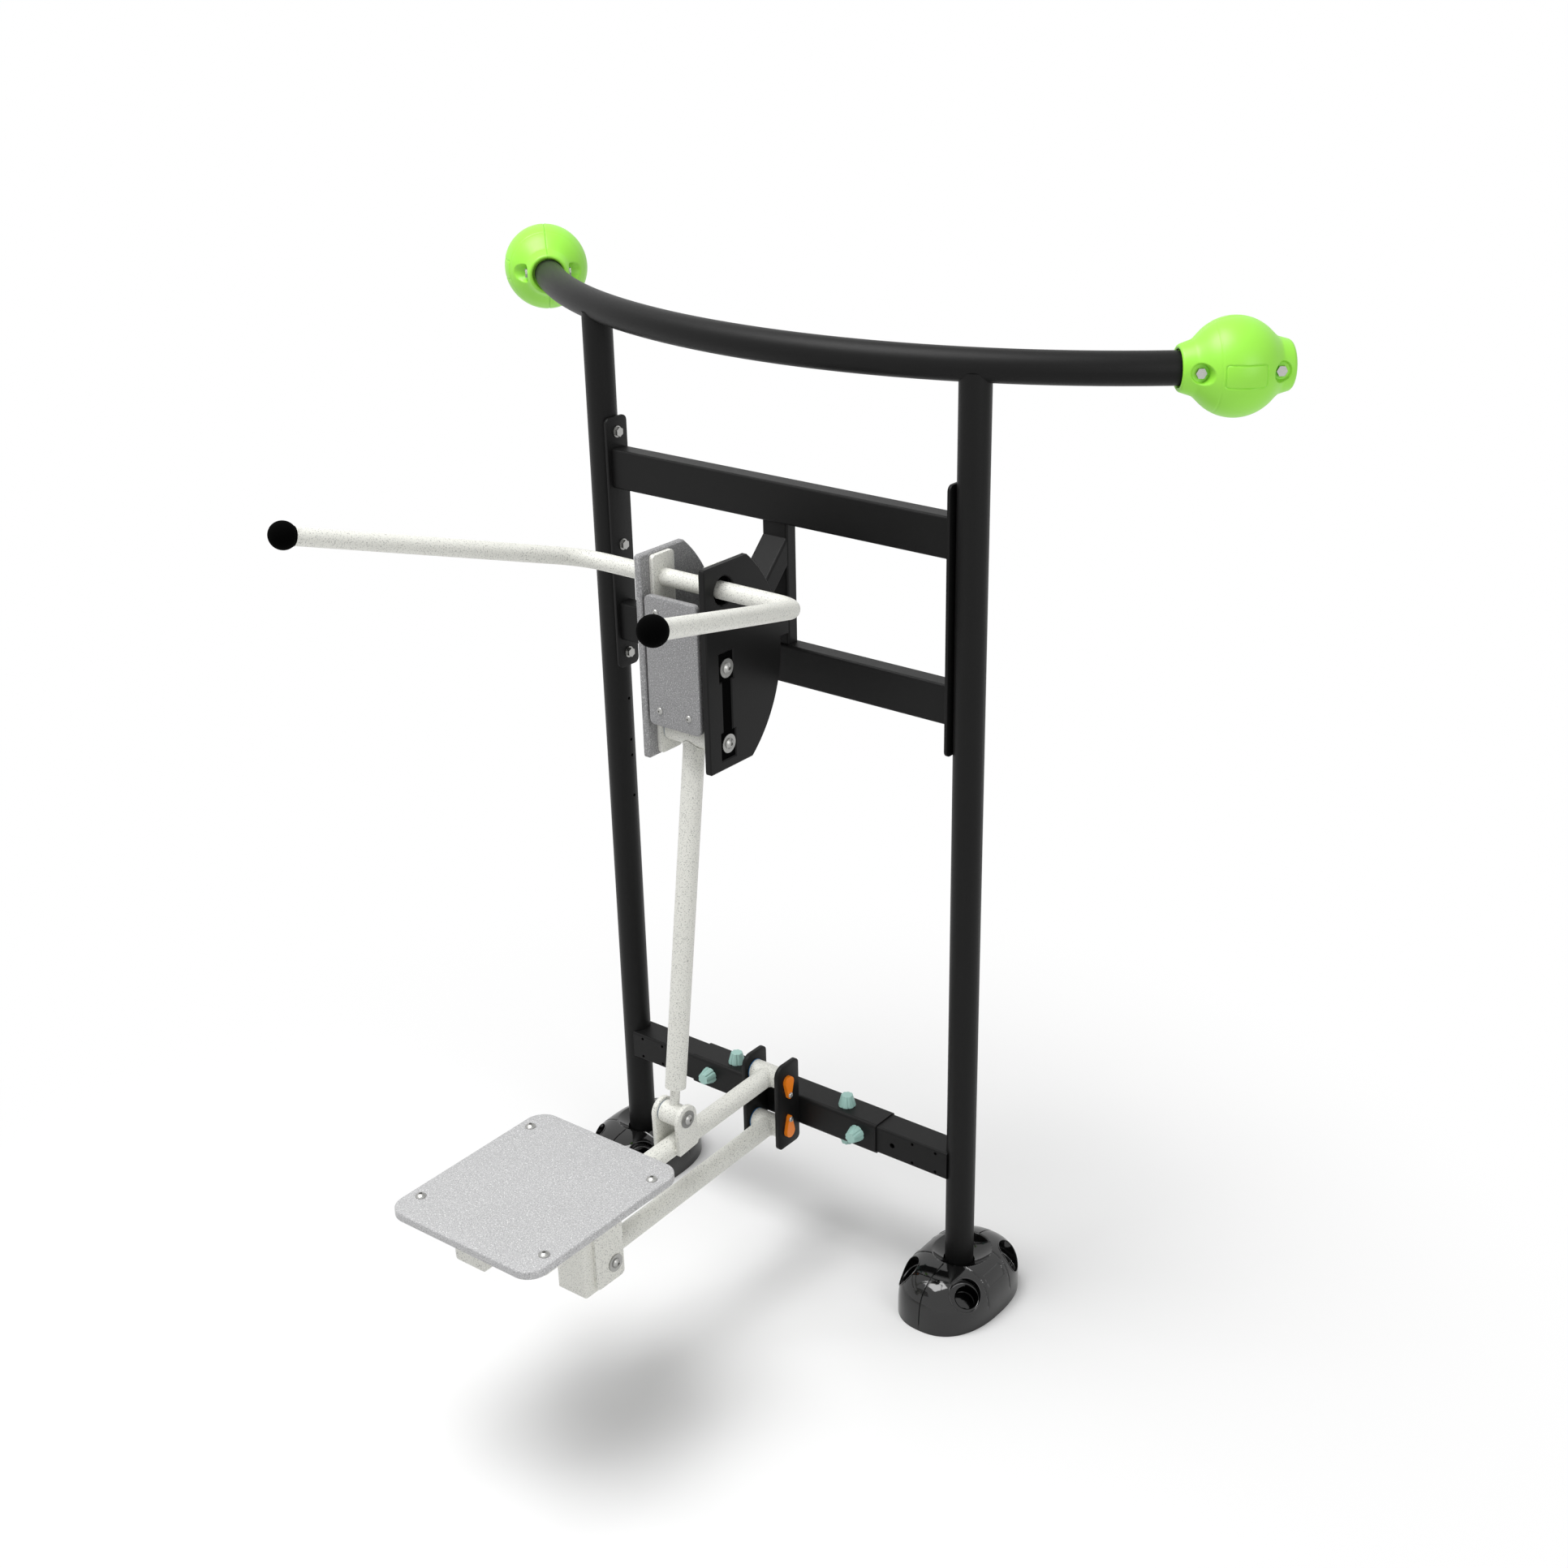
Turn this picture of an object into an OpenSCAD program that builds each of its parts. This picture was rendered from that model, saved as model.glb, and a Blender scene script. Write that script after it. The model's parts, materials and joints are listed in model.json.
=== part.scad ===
// Outdoor lat pulldown machine, millimetres.
// X runs to the right, Y to the back and Z up. The user stands at the front.
// The origin lies on the ground, midway between the two posts.

/* [Posts and top rail] */
// Outer diameter of the post and rail tubes
post_od = 60.3; // [54:0.1:64]
// Wall of the post tube
post_wall = 5; // [3:0.5:6]
// Wall of the rail tube
rail_wall = 4; // [3:0.5:6]
// Distance from the middle to each post
post_half_span = 443; // [420:1:480]
// Height of the rail's centre line
rail_z = 1984; // [1900:1:2100]
// Radius of the rail's arc, seen from above
rail_arc_r = 1144.7; // [1050:0.1:1300]
// How far below the rail's centre line the coped post ends
post_cope = 10; // [8:1:16]
// Diameter of the sign holes in the posts
sign_hole_d = 7; // [4:0.5:10]
// Height of the lowest sign hole
sign_hole_z = 947; // [700:1:1000]
// Distance between the outer sign holes
sign_hole_span = 223; // [150:1:260]
// Distance between the inner sign holes
sign_hole_inner = 36; // [20:1:60]

/* [Base plates and foot covers] */
// Width of a base plate
base_w = 180; // [176:1:184]
// Depth of a base plate
base_d = 210; // [206:1:220]
// Thickness of a base plate
base_t = 12; // [8:1:16]
// Corner radius of a base plate
base_corner_r = 30; // [24:1:40]
// Distance between the anchor holes, across
anchor_pitch_x = 132; // [124:1:134]
// Distance between the anchor holes, front to back
anchor_pitch_y = 156; // [146:1:158]
// Diameter of an anchor hole
anchor_hole_d = 18; // [12:0.5:22]
// Half width of a foot cover
cover_half_w = 106; // [104:1:120]
// Half depth of a foot cover
cover_half_d = 150; // [146:1:170]
// Height of a foot cover's dome
cover_h = 117; // [110:1:130]
// Wall of a foot cover
cover_wall = 4; // [3:0.5:6]
// Distance between the slanted access holes of a cover, left to right
access_pitch_x = 142.6; // [136:0.1:146]
// Distance between the slanted access holes of a cover, front to back
access_pitch_y = 168.6; // [160:0.1:172]
// Diameter of the upright bore over each anchor
access_bore_d = 46; // [40:1:48]
// Diameter of a cover's access hole
access_hole_d = 72; // [50:1:76]
// Height of an access hole's centre
access_hole_z = 80; // [76:1:86]
// Radius of the dish around the post
dish_r = 80; // [70:1:100]
// Lowest height of the dish
dish_floor_z = 94; // [80:1:100]

/* [End knobs] */
// Radius of a knob's ball
knob_r = 87; // [80:1:95]
// Radius of a knob's necks at the ball
knob_neck_r = 54; // [50:1:60]
// How far the necks reach into the ball
knob_neck_in = 8; // [4:1:10]
// Radius of the inner neck's mouth
knob_mouth_r = 40; // [38:1:48]
// Radius of the outer neck at its end
knob_end_r = 44; // [40:1:48]
// Distance from the ball's middle to the mouth round the rail
knob_mouth_len = 101; // [96:1:110]
// Distance from the ball's middle to the outer end
knob_half_len = 106.5; // [104:0.5:116]
// Rise of the outer neck's domed end
knob_end_dome = 10; // [6:1:16]
// Wall of a knob's ball
knob_wall = 6; // [4:0.5:10]
// Half length of the hollow inside the ball
knob_hollow_half = 50; // [40:1:54]
// Distance from a knob's middle to each cross bolt
knob_bolt_x = 71; // [66:1:80]
// Diameter of the recess over a bolt head
knob_recess_d = 32; // [28:1:36]
// Distance from a knob's axis to a recess floor
knob_recess_y = 41; // [36:0.5:42]
// Place of the ring groove, from the middle towards the tube
knob_groove_x = 41; // [30:1:50]
// Width and depth of the ring groove
knob_groove = 2; // [1:0.5:3]
// Width of the blank panel on the ball
knob_panel_w = 73; // [50:1:80]
// Height of the blank panel on the ball
knob_panel_h = 40; // [30:1:50]
// Depth of the blank panel
knob_panel_depth = 1.5; // [1:0.5:3]
// Corner radius of the blank panel
knob_panel_corner_r = 8; // [4:1:12]
// Rail length beyond a knob's middle
knob_rail_in = 38; // [20:1:40]
// Distance from a knob's middle back to where its axis touches the rail's arc
knob_seat_back = 40; // [30:1:50]

/* [Upper frame] */
// Mean height of the two crossbars
frame_mid_z = 1508.3; // [1450:0.1:1560]
// Distance between the crossbars' centre lines
crossbar_pitch = 322.2; // [300:0.1:350]
// Height of a crossbar
crossbar_h = 80; // [70:1:90]
// Depth of a crossbar
crossbar_d = 40; // [36:1:50]
// Wall of the box tubes in the upper frame
box_wall = 3; // [2:0.5:4]
// Corner radius of the box tubes
box_corner_r = 5; // [4:0.5:6]
// Width of a flange plate
flange_w = 60; // [50:1:60]
// Length of a flange plate
flange_len = 525; // [480:1:560]
// Thickness of a flange plate
flange_t = 6.5; // [5:0.5:10]
// Corner radius of a flange plate
flange_corner_r = 12; // [6:1:20]
// Distance between the flange bolts
flange_bolt_pitch = 232.5; // [215:0.5:236]
// Width of the upright, brace and stub
upright_w = 60; // [50:1:60]
// Depth of the upright
upright_d = 30; // [24:1:40]
// Height of the pivot stub's tube and thickness of the brace
stub_h = 40; // [36:1:44]
// How far the brace's middle lies above the pivot
brace_up = 144.8; // [130:0.1:160]
// Slope of the brace
brace_angle = 45; // [40:1:48]

/* [Lever] */
// Distance of the lever's pivot in front of the posts
pivot_y = 270; // [262:1:300]
// How far the lever's pivot lies below the middle of the two crossbars
pivot_drop = 79.8; // [70:0.1:90]
// Outer radius of the pivot hub
hub_r = 28; // [26:0.5:32]
// Distance from the pivot down to the tie rod's top axle
crank_r = 150; // [140:1:160]
// Inner half gap between the lever plates
lever_half_gap = 58.5; // [50:0.5:60]
// Thickness of a lever plate
lever_plate_t = 10; // [8:1:12]
// Width of a lever plate
lever_plate_w = 60; // [54:1:64]
// Length of a lever plate
lever_plate_len = 391; // [380:1:396]
// Corner radius of a lever plate
lever_plate_corner_r = 8; // [4:1:12]
// Thickness of a cheek
cheek_t = 15; // [12:0.5:18]
// Height of a cheek
cheek_h = 400; // [392:1:410]
// Front edge of a cheek, in front of the pivot
cheek_front = 55; // [50:1:60]
// Radius of a cheek's rear edge
cheek_arc_r = 260; // [250:1:270]
// Rearmost reach of a cheek behind the pivot
cheek_back = 164; // [150:1:170]
// Corner radius of a cheek's front corners
cheek_corner_r = 6; // [3:1:12]
// Diameter of the hole round the handlebar in a cheek
cheek_bar_hole_d = 54; // [44:1:58]
// Width of the cut-outs at the bolts
cutout_w = 40; // [40:1:46]
// Height of the cut-outs at the bolts
cutout_h = 54; // [48:1:60]
// Width of the slot between the cut-outs
cutout_slot_w = 25; // [16:1:30]
// How far the cut-outs lie outside the bolts' pitch
cutout_shift = 3; // [0:0.5:6]
// How deep the inserts lie below the cheek's face
insert_sink = 2; // [1:0.5:3]

/* [Front cover] */
// Width of the front cover
front_cover_w = 124; // [116:1:130]
// Height of the front cover
front_cover_h = 255; // [245:1:270]
// Thickness of the front cover
front_cover_t = 13; // [10:1:15]
// How far the cover's middle lies above the pivot
front_cover_up = 2; // [-4:1:6]
// Corner radius of the front cover
front_cover_corner_r = 11; // [6:1:20]
// Distance between the cover screws, across
cover_screw_pitch_x = 70; // [60:1:84]
// Distance between the cover screws, up and down
cover_screw_pitch_z = 192.5; // [180:0.5:200]
// Depth of a cross rail
cover_rail_d = 13; // [10:1:14]
// Height of a cross rail
cover_rail_h = 36; // [24:1:44]
// Length of a cross rail
cover_rail_len = 120; // [112:1:122]

/* [Handlebar] */
// Outer diameter of the handlebar
handle_od = 33.7; // [30:0.1:38]
// Wall of the handlebar
handle_wall = 2.6; // [2:0.1:4]
// Distance from the pivot up to the handlebar
handle_up = 149; // [144:1:154]
// Distance from the middle to where the bar's lines cross at a bend
handle_vertex_x = 255; // [220:1:300]
// Radius of the bends
handle_bend_r = 70; // [60:1:90]
// Turn of the bar at a bend
handle_bend_angle = 74.6; // [60:0.1:85]
// Rise of the forward parts
handle_rise_angle = 15.4; // [0:0.1:25]
// Length from a bend's crossing point to a ball's centre
handle_reach = 611; // [500:1:700]
// Diameter of a ball end
handle_ball_d = 51; // [46:1:60]

/* [Lower frame] */
// Height of the bottom bar's centre line
bottom_bar_z = 335.6; // [320:0.1:350]
// Side of the inner box tubes of the bottom bar
bottom_bar_size = 63.6; // [60:0.1:63.6]
// Wall of the bottom bar
bottom_bar_wall = 4; // [3:0.5:5]
// Side of the clamp sleeve
clamp_size = 70; // [70:0.5:76]
// Wall of the clamp sleeve
clamp_wall = 3; // [2:0.5:3]
// Half length of the clamp sleeve
clamp_half_len = 250; // [240:1:280]
// Half gap between the inner box tubes
bottom_bar_half_gap = 10; // [4:1:30]
// Distance from the middle to the upright clamp bolts
clamp_bolt_upright_x = 151; // [120:1:160]
// Distance from the middle to the level clamp bolts
clamp_bolt_level_x = 201.5; // [195:0.5:225]
// Distance from a post's axis in to the middle of the four small holes
panel_holes_in = 72; // [60:1:90]
// Width of that pattern
panel_holes_w = 58; // [40:1:60]
// Height of that pattern
panel_holes_h = 45; // [30:1:48]
// Diameter of those holes
panel_hole_d = 7; // [5:0.5:9]
// Distance from a post's axis in to the single hole
cable_hole_in = 152; // [140:1:165]
// Diameter of the cable hole
cable_hole_d = 12; // [8:0.5:16]

/* [Fluted caps] */
// Diameter of a fluted cap at its base
flute_cap_d = 38; // [36:1:44]
// Diameter of a fluted cap at its top
flute_cap_top_d = 25; // [22:1:28]
// Height of a fluted cap
flute_cap_h = 24; // [20:1:28]
// Number of flutes
flute_count = 8; // [6:1:10]
// Diameter of a flute
flute_d = 7; // [5:0.5:9]

/* [Arms] */
// Distance of the arm axles in front of the posts
arm_pivot_y = 75; // [72:1:78]
// Height of the upper arm's axle
upper_arm_z = 428.5; // [425:0.5:435]
// Distance between the two arm axles
arm_pitch = 122.5; // [118:0.5:125]
// Length of the arms between their axles
arm_len = 550; // [520:1:600]
// Downward slope of the arms at rest
arm_slope_angle = 1.9; // [0:0.1:3]
// Outer diameter of the arm and tie rod tubes
arm_od = 42.4; // [38:0.1:44]
// Wall of the arm and tie rod tubes
arm_wall = 3.2; // [2:0.1:4]
// Outer diameter of the sleeves on the tubes' ends
sleeve_od = 46; // [45:0.5:50]
// Inner half gap between the bearing plates
bearing_half_gap = 38.5; // [36:0.5:44]
// Thickness of a bearing plate
bearing_plate_t = 10; // [8:1:12]
// Width of a bearing plate
bearing_plate_w = 72; // [70:1:80]
// Height of a bearing plate
bearing_plate_h = 202; // [196:1:210]
// Height of the bearing plates' middle
bearing_plate_z = 369; // [366:1:371]
// Corner radius of a bearing plate
bearing_corner_r = 12; // [6:1:16]
// Radius of a teardrop cap at its axle
cap_r = 13.5; // [13:0.5:17]
// Distance from the axle to a teardrop cap's tip
cap_reach = 40; // [38:1:44]
// Radius of a teardrop cap's tip
cap_tip_r = 5; // [4:0.5:7]
// Thickness of a teardrop cap
cap_t = 8; // [6:0.5:12]
// Distance from the axle to a teardrop cap's screw
cap_screw_at = 31; // [28:1:33]

/* [Tie rod and clevis] */
// Place of the clevis pin along the upper arm
clevis_along = 304.8; // [280:0.1:330]
// Height of the clevis pin above the upper arm's line
clevis_up = 70.6; // [68:0.1:76]
// Inner half gap between the clevis plates
clevis_half_gap = 25; // [24:0.5:28]
// Thickness of a clevis plate
clevis_t = 10; // [8:1:12]
// Radius of a clevis plate around its pin
clevis_r = 29; // [24:1:32]
// Width of a clevis plate's foot
clevis_foot_w = 64; // [60:1:80]
// Height of a clevis plate's foot
clevis_foot_h = 14; // [12:1:30]
// Diameter of the threaded stud
stud_d = 20; // [16:1:24]
// Distance from the lower eye's centre to the rod tube's end
rod_tube_gap = 60; // [50:1:80]
// Length of the threaded plug in the rod tube
rod_plug_len = 30; // [20:1:40]

/* [Footplate] */
// Width of the footplate's panel
panel_w = 368; // [340:1:420]
// Depth of the footplate's panel
panel_d = 412; // [380:1:440]
// Thickness of the footplate's panel
panel_t = 18; // [15:1:20]
// Corner radius of the footplate's panel
panel_corner_r = 39; // [24:1:50]
// Height of the panel's top above the upper front pin
panel_over_pin = 117.8; // [114:0.1:122]
// Reach of the panel behind the front pins
panel_behind_pin = 55.7; // [50:0.1:60]
// Distance between the panel's screws, across
panel_screw_pitch_x = 314; // [280:1:315]
// Distance between the panel's screws, front to back
panel_screw_pitch_y = 291; // [260:1:300]
// Distance from the panel's rear edge to its rear screws
panel_screw_back = 58; // [40:1:62]
// Width of the footplate's beam and post
foot_box_w = 75; // [75:1:80]
// Height of the footplate's beam
foot_beam_h = 47; // [40:1:52]
// Distance from the panel's front edge to the beam's front end
foot_beam_front = 29; // [20:1:40]
// Depth of the footplate's post
foot_post_d = 50; // [40:1:60]
// Gap between the front sleeves and the footplate's post
foot_post_clear = 5; // [4:0.5:10]
// Reach of the footplate's post below the lower pin
foot_post_down = 43.6; // [36:0.1:50]
// Wall of the footplate's box tubes
foot_wall = 3; // [2:0.5:4]
// Thickness of the flat bars under the panel
foot_flat_t = 5; // [4:0.5:8]
// Width of the flat bars under the panel
foot_flat_w = 44; // [30:1:50]
// Thickness of a side plate
side_plate_t = 8; // [6:1:10]
// Width of a side plate
side_plate_w = 78; // [70:1:84]
// Reach of a side plate behind the pins
side_plate_back = 25; // [24:0.5:30]
// Reach of a side plate below the lower pin
side_plate_down = 37.8; // [30:0.1:42]
// Reach of a side plate above the upper pin
side_plate_up = 90; // [80:1:94]
// Corner radius of a side plate
side_plate_corner_r = 10; // [6:1:16]

/* [Axles, bushes and fasteners] */
// Radius of every axle and pin
axle_r = 12.5; // [10:0.5:14]
// Wall of a bush
bush_wall = 3; // [2:0.5:4]
// Length of a bush in its bore
bush_len = 18; // [12:1:20]
// Radius of a bush's flange
bush_flange_r = 21.5; // [19:0.5:22]
// Thickness of a bush's flange
bush_flange_t = 2; // [1.5:0.5:2]
// Running gap between an axle and its bush
run_gap = 0.05; // [0.03:0.01:0.08]
// Gap between a fixed pin or bush and its seat
seat_gap = 0.05; // [0.03:0.01:0.1]
// Side gap between a moving bush and the plate beside it
side_gap = 0.3; // [0.2:0.05:0.5]
// Gap between a coped tube and what it is welded to
weld_gap = 0.1; // [0.05:0.05:0.3]
// Gap round loosely fitted pieces
loose_gap = 0.3; // [0.2:0.05:0.5]
// Diameter of the large screws in the axles' ends
big_screw_d = 12; // [10:1:12]
// Diameter of a large screw's head
big_head_d = 21; // [20:1:24]
// Height of a large screw's head
big_head_h = 6.5; // [5:0.5:8]
// Length of a large screw in an axle's end
big_screw_in = 18; // [12:1:20]
// Diameter of a large washer
washer_d = 37; // [32:1:38]
// Thickness of a large washer
washer_t = 2.5; // [2:0.5:3]
// Diameter of the frame bolts
bolt_d = 10; // [8:1:12]
// Width across the flats of a frame bolt's head
bolt_af = 17; // [16:1:19]
// Height of a frame bolt's head
bolt_head_h = 6.5; // [5:0.5:8]
// Diameter of a frame bolt's washer
bolt_washer_d = 23; // [22:1:26]
// Thickness of a frame bolt's washer
bolt_washer_t = 2; // [1:0.5:3]
// Diameter of the clamp bolts
clamp_bolt_d = 12; // [10:1:12]
// Width across the flats of a clamp bolt's head
clamp_bolt_af = 19; // [17:1:20]
// Height of a clamp bolt's head
clamp_bolt_head_h = 8; // [6:0.5:9]
// Diameter of the cover's screws
small_screw_d = 8; // [6:1:8]
// Diameter of a cover screw's head
small_head_d = 14; // [12:1:16]
// Height of a cover screw's head
small_head_h = 4.5; // [3:0.1:6]
// Diameter of the cheek and cap screws
tiny_screw_d = 5; // [4:0.5:6]
// Diameter of a cheek or cap screw's head
tiny_head_d = 10; // [8:0.5:11]
// Height of a cheek or cap screw's head
tiny_head_h = 2.6; // [2:0.1:3]
// Gap between a screw and its hole, on the radius
hole_gap = 0.25; // [0.1:0.05:0.5]

/* [Hidden] */
$fn = 72;
rail_fn = 540;
tube_fn = 32;
sides = [-1, 1];
overrun = 2;
spare_angle = 1;

// Shapes of screw heads and flutes as shares of their own size
head_crown_share = 0.75;
socket_floor_share = 0.45;
socket_share = 0.17;
flute_out_share = 0.3;

black_paint = [0.15, 0.15, 0.15];
black_plastic = [0.1, 0.1, 0.1];
cream_paint = [0.88, 0.88, 0.85];
panel_grey = [0.62, 0.62, 0.62];
steel_grey = [0.6, 0.6, 0.58];
blue_plastic = [0.16, 0.42, 0.6];
orange_plastic = [0.91, 0.51, 0.16];
mint_plastic = [0.63, 0.77, 0.75];
lime_plastic = [0.7, 1, 0.4];

post_r = post_od / 2;
rail_centre_y = sqrt(pow(rail_arc_r, 2) - pow(post_half_span, 2));
flange_in_x = post_half_span - post_r - flange_t;
pivot_z = frame_mid_z - pivot_drop;
crossbar_upper_z = frame_mid_z + crossbar_pitch / 2;
crossbar_lower_z = frame_mid_z - crossbar_pitch / 2;
upright_bottom_z = crossbar_lower_z + crossbar_h / 2;
upright_top_z = crossbar_upper_z - crossbar_h / 2;

// The knob's axis touches the rail's arc at this angle from the middle
knob_seat_angle = 43.25;
knob_x = rail_arc_r * sin(knob_seat_angle) + knob_seat_back * cos(knob_seat_angle);
knob_y = rail_centre_y - rail_arc_r * cos(knob_seat_angle) + knob_seat_back * sin(knob_seat_angle);
rail_end_angle = knob_seat_angle + (knob_seat_back + knob_rail_in) / rail_arc_r * 180 / PI;
knob_root = sqrt(pow(knob_r, 2) - pow(knob_neck_r, 2)) - knob_neck_in;
knob_cap_r = (pow(knob_end_r, 2) + pow(knob_end_dome, 2)) / (2 * knob_end_dome);

// The foot cover's plan and its rise are superellipses
cover_plan_exponent = 2.38;
cover_rise_exponent = 3.45;
cover_ring_count = 8;
cover_side_count = 32;
dish_back_share = 0.07;
access_tilt_angle = 38;
access_depth_share = 0.35;
access_depth = access_hole_d * access_depth_share;
access_turn_angle = atan2(access_pitch_x, access_pitch_y);

bush_r = axle_r + run_gap + bush_wall;
bush_seat_r = bush_r + seat_gap;
axle_seat_r = axle_r + seat_gap;
big_hole_r = big_screw_d / 2 + hole_gap;

lever_plate_out = lever_half_gap + lever_plate_t;
cheek_out = lever_plate_out + cheek_t;
insert_out = cheek_out - insert_sink;
hub_half = lever_half_gap - side_gap - bush_flange_t;
pivot = [-pivot_y, pivot_z];
crank_pin = [-pivot_y, pivot_z - crank_r];
handle_tangent = handle_bend_r * tan(handle_bend_angle / 2);
handle_straight = handle_vertex_x - handle_tangent;
bend_step_count = 10;
cover_back_y = -pivot_y - lever_plate_w / 2 - cover_rail_d;
cover_mid_z = pivot_z + front_cover_up;

// Places of the cheek screws as shares of the lever plate's width and length
cheek_screw_y_shares = [-0.3, 0.3];
cheek_screw_z_shares = [-0.2, 0.2];
cheek_screw_bite_share = 0.7;

arm_dir = [-cos(arm_slope_angle), -sin(arm_slope_angle)];
arm_up = [-sin(arm_slope_angle), cos(arm_slope_angle)];
upper_rear = [-arm_pivot_y, upper_arm_z];
lower_rear = [-arm_pivot_y, upper_arm_z - arm_pitch];
upper_front = upper_rear + arm_len * arm_dir;
lower_front = lower_rear + arm_len * arm_dir;
clevis_at = upper_rear + clevis_along * arm_dir + clevis_up * arm_up;
sleeve_r = sleeve_od / 2;
arm_r = arm_od / 2;
rod_len = norm(clevis_at - crank_pin);
rear_sleeve_half = bearing_half_gap - side_gap - bush_flange_t;
foot_half_gap = foot_box_w / 2;
front_sleeve_half = foot_half_gap - side_gap - bush_flange_t;
eye_half = clevis_half_gap - side_gap - bush_flange_t;
clamp_front_y = -clamp_size / 2;
bearing_out = bearing_half_gap + bearing_plate_t;

panel_top_z = upper_front[1] + panel_over_pin;
panel_rear_y = upper_front[0] + panel_behind_pin;
panel_mid_y = panel_rear_y - panel_d / 2;
flat_top_z = panel_top_z - panel_t;
beam_top_z = flat_top_z - foot_flat_t;
beam_bottom_z = beam_top_z - foot_beam_h;
foot_post_rear_y = upper_front[0] - sleeve_r - foot_post_clear;
foot_post_front_y = foot_post_rear_y - foot_post_d;
beam_front_y = panel_rear_y - panel_d + foot_beam_front;
panel_screw_rear_y = panel_rear_y - panel_screw_back;

function hex_r(af) = af / 2 / cos(30);
function signed_pow(v, e) = sign(v) * pow(abs(v), e);

// Draws the children, drawn for the right side, on the given side
module on_side(side) {
    if (side < 0) mirror([1, 0, 0]) children();
    else children();
}

// Raises a flat outline drawn in y and z along X, from x0 to x1
module along_x(x0, x1) {
    translate([x0, 0, 0])
        rotate([90, 0, 90])
            linear_extrude(x1 - x0)
                children();
}

// Raises a flat outline drawn in x and z along Y, from y0 back to y1
module along_y(y0, y1) {
    translate([0, y1, 0])
        rotate([90, 0, 0])
            linear_extrude(y1 - y0)
                children();
}

module rod_x(x0, x1, r) {
    translate([x0, 0, 0])
        rotate([0, 90, 0])
            cylinder(h = x1 - x0, r = r);
}

// Moves to a point given as [y, z]
module at_yz(p) {
    translate([0, p[0], p[1]])
        children();
}

// Turns the Z axis from point p towards point q, both given as [y, z]
module aim(p, q) {
    translate([0, p[0], p[1]])
        rotate([atan2(p[0] - q[0], q[1] - p[1]), 0, 0])
            children();
}

module round_rect(w, h, r) {
    square([w - 2 * r, h], center = true);
    square([w, h - 2 * r], center = true);
    for (x = sides, y = sides)
        translate([x * (w / 2 - r), y * (h / 2 - r)])
            circle(r);
}

module box_section(w, h, r, wall) {
    difference() {
        round_rect(w, h, r);
        round_rect(w - 2 * wall, h - 2 * wall, max(r - wall, wall / 2));
    }
}

// Domed button head with a hex socket, standing on z = 0
module button_head(d, h) {
    crown = h * head_crown_share;
    rim = h - crown;
    cap_radius = (pow(d / 2, 2) + pow(crown, 2)) / (2 * crown);
    difference() {
        rotate_extrude()
            union() {
                square([d / 2, rim]);
                intersection() {
                    translate([0, h - cap_radius])
                        circle(cap_radius);
                    translate([0, rim])
                        square([d / 2, crown]);
                }
            }
        translate([0, 0, h * socket_floor_share])
            cylinder(h = h, r = d * socket_share, $fn = 6);
    }
}

// Button head screw with its head on z = 0 and its shank below
module button_screw(d, len, head_d, head_h) {
    button_head(head_d, head_h);
    translate([0, 0, -len])
        cylinder(h = len, r = d / 2);
}

module washer(d, hole_r, t) {
    difference() {
        cylinder(h = t, r = d / 2);
        translate([0, 0, -overrun])
            cylinder(h = t + 2 * overrun, r = hole_r);
    }
}

// Flanged bush that fills a bore from its end at x = half inwards
module bush(half) {
    difference() {
        union() {
            rod_x(half - bush_len, half, bush_r);
            rod_x(half, half + bush_flange_t, bush_flange_r);
        }
        rod_x(half - bush_len - overrun, half + bush_flange_t + overrun, axle_r + run_gap);
    }
}

module bush_pair(half) {
    for (side = sides)
        on_side(side)
            bush(half);
}

// Axle across X with a threaded hole in each end
module axle(half) {
    difference() {
        rod_x(-half, half, axle_r);
        for (side = sides)
            on_side(side)
                rod_x(half - big_screw_in - overrun, half + overrun, big_hole_r);
    }
}

// Large washer and button head screw against the face at x = face, reaching in by len
module end_screws(face, len) {
    for (side = sides)
        on_side(side)
            translate([face, 0, 0])
                rotate([0, 90, 0]) {
                    translate([0, 0, seat_gap])
                        washer(washer_d, big_hole_r, washer_t);
                    translate([0, 0, washer_t + 2 * seat_gap])
                        button_screw(big_screw_d, len + washer_t, big_head_d, big_head_h);
                }
}

module rail_sweep(r, half_angle) {
    translate([0, rail_centre_y, rail_z])
        rotate([0, 0, -90 - half_angle])
            rotate_extrude(angle = 2 * half_angle, $fn = rail_fn)
                translate([rail_arc_r, 0])
                    circle(r, $fn = tube_fn);
}

// Bores for the flange bolts, drawn for the right side
module flange_bolt_holes(r) {
    for (i = [-1 : 1])
        translate([0, 0, frame_mid_z + i * flange_bolt_pitch])
            rod_x(flange_in_x - overrun, post_half_span - post_r + 2 * post_wall, r);
}

module post() {
    sign_zs = [sign_hole_z, sign_hole_z + (sign_hole_span - sign_hole_inner) / 2,
        sign_hole_z + (sign_hole_span + sign_hole_inner) / 2, sign_hole_z + sign_hole_span];
    difference() {
        translate([post_half_span, 0, base_t])
            cylinder(h = rail_z - post_cope - base_t, r = post_r);
        translate([post_half_span, 0, base_t - overrun])
            cylinder(h = rail_z - base_t, r = post_r - post_wall);
        rail_sweep(post_r + weld_gap, rail_end_angle);
        flange_bolt_holes(bolt_d / 2 + hole_gap);
        for (z = sign_zs)
            translate([0, 0, z])
                rod_x(post_half_span - post_od, post_half_span - post_r / 2, sign_hole_d / 2);
    }
}

module post_left() color(black_paint) on_side(-1) post();
module post_right() color(black_paint) post();

// Knob frame: x along the knob's axis away from the machine, y to the back
module at_knob(side) {
    on_side(side)
        translate([knob_x, knob_y, rail_z])
            rotate([0, 0, knob_seat_angle])
                children();
}

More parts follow.
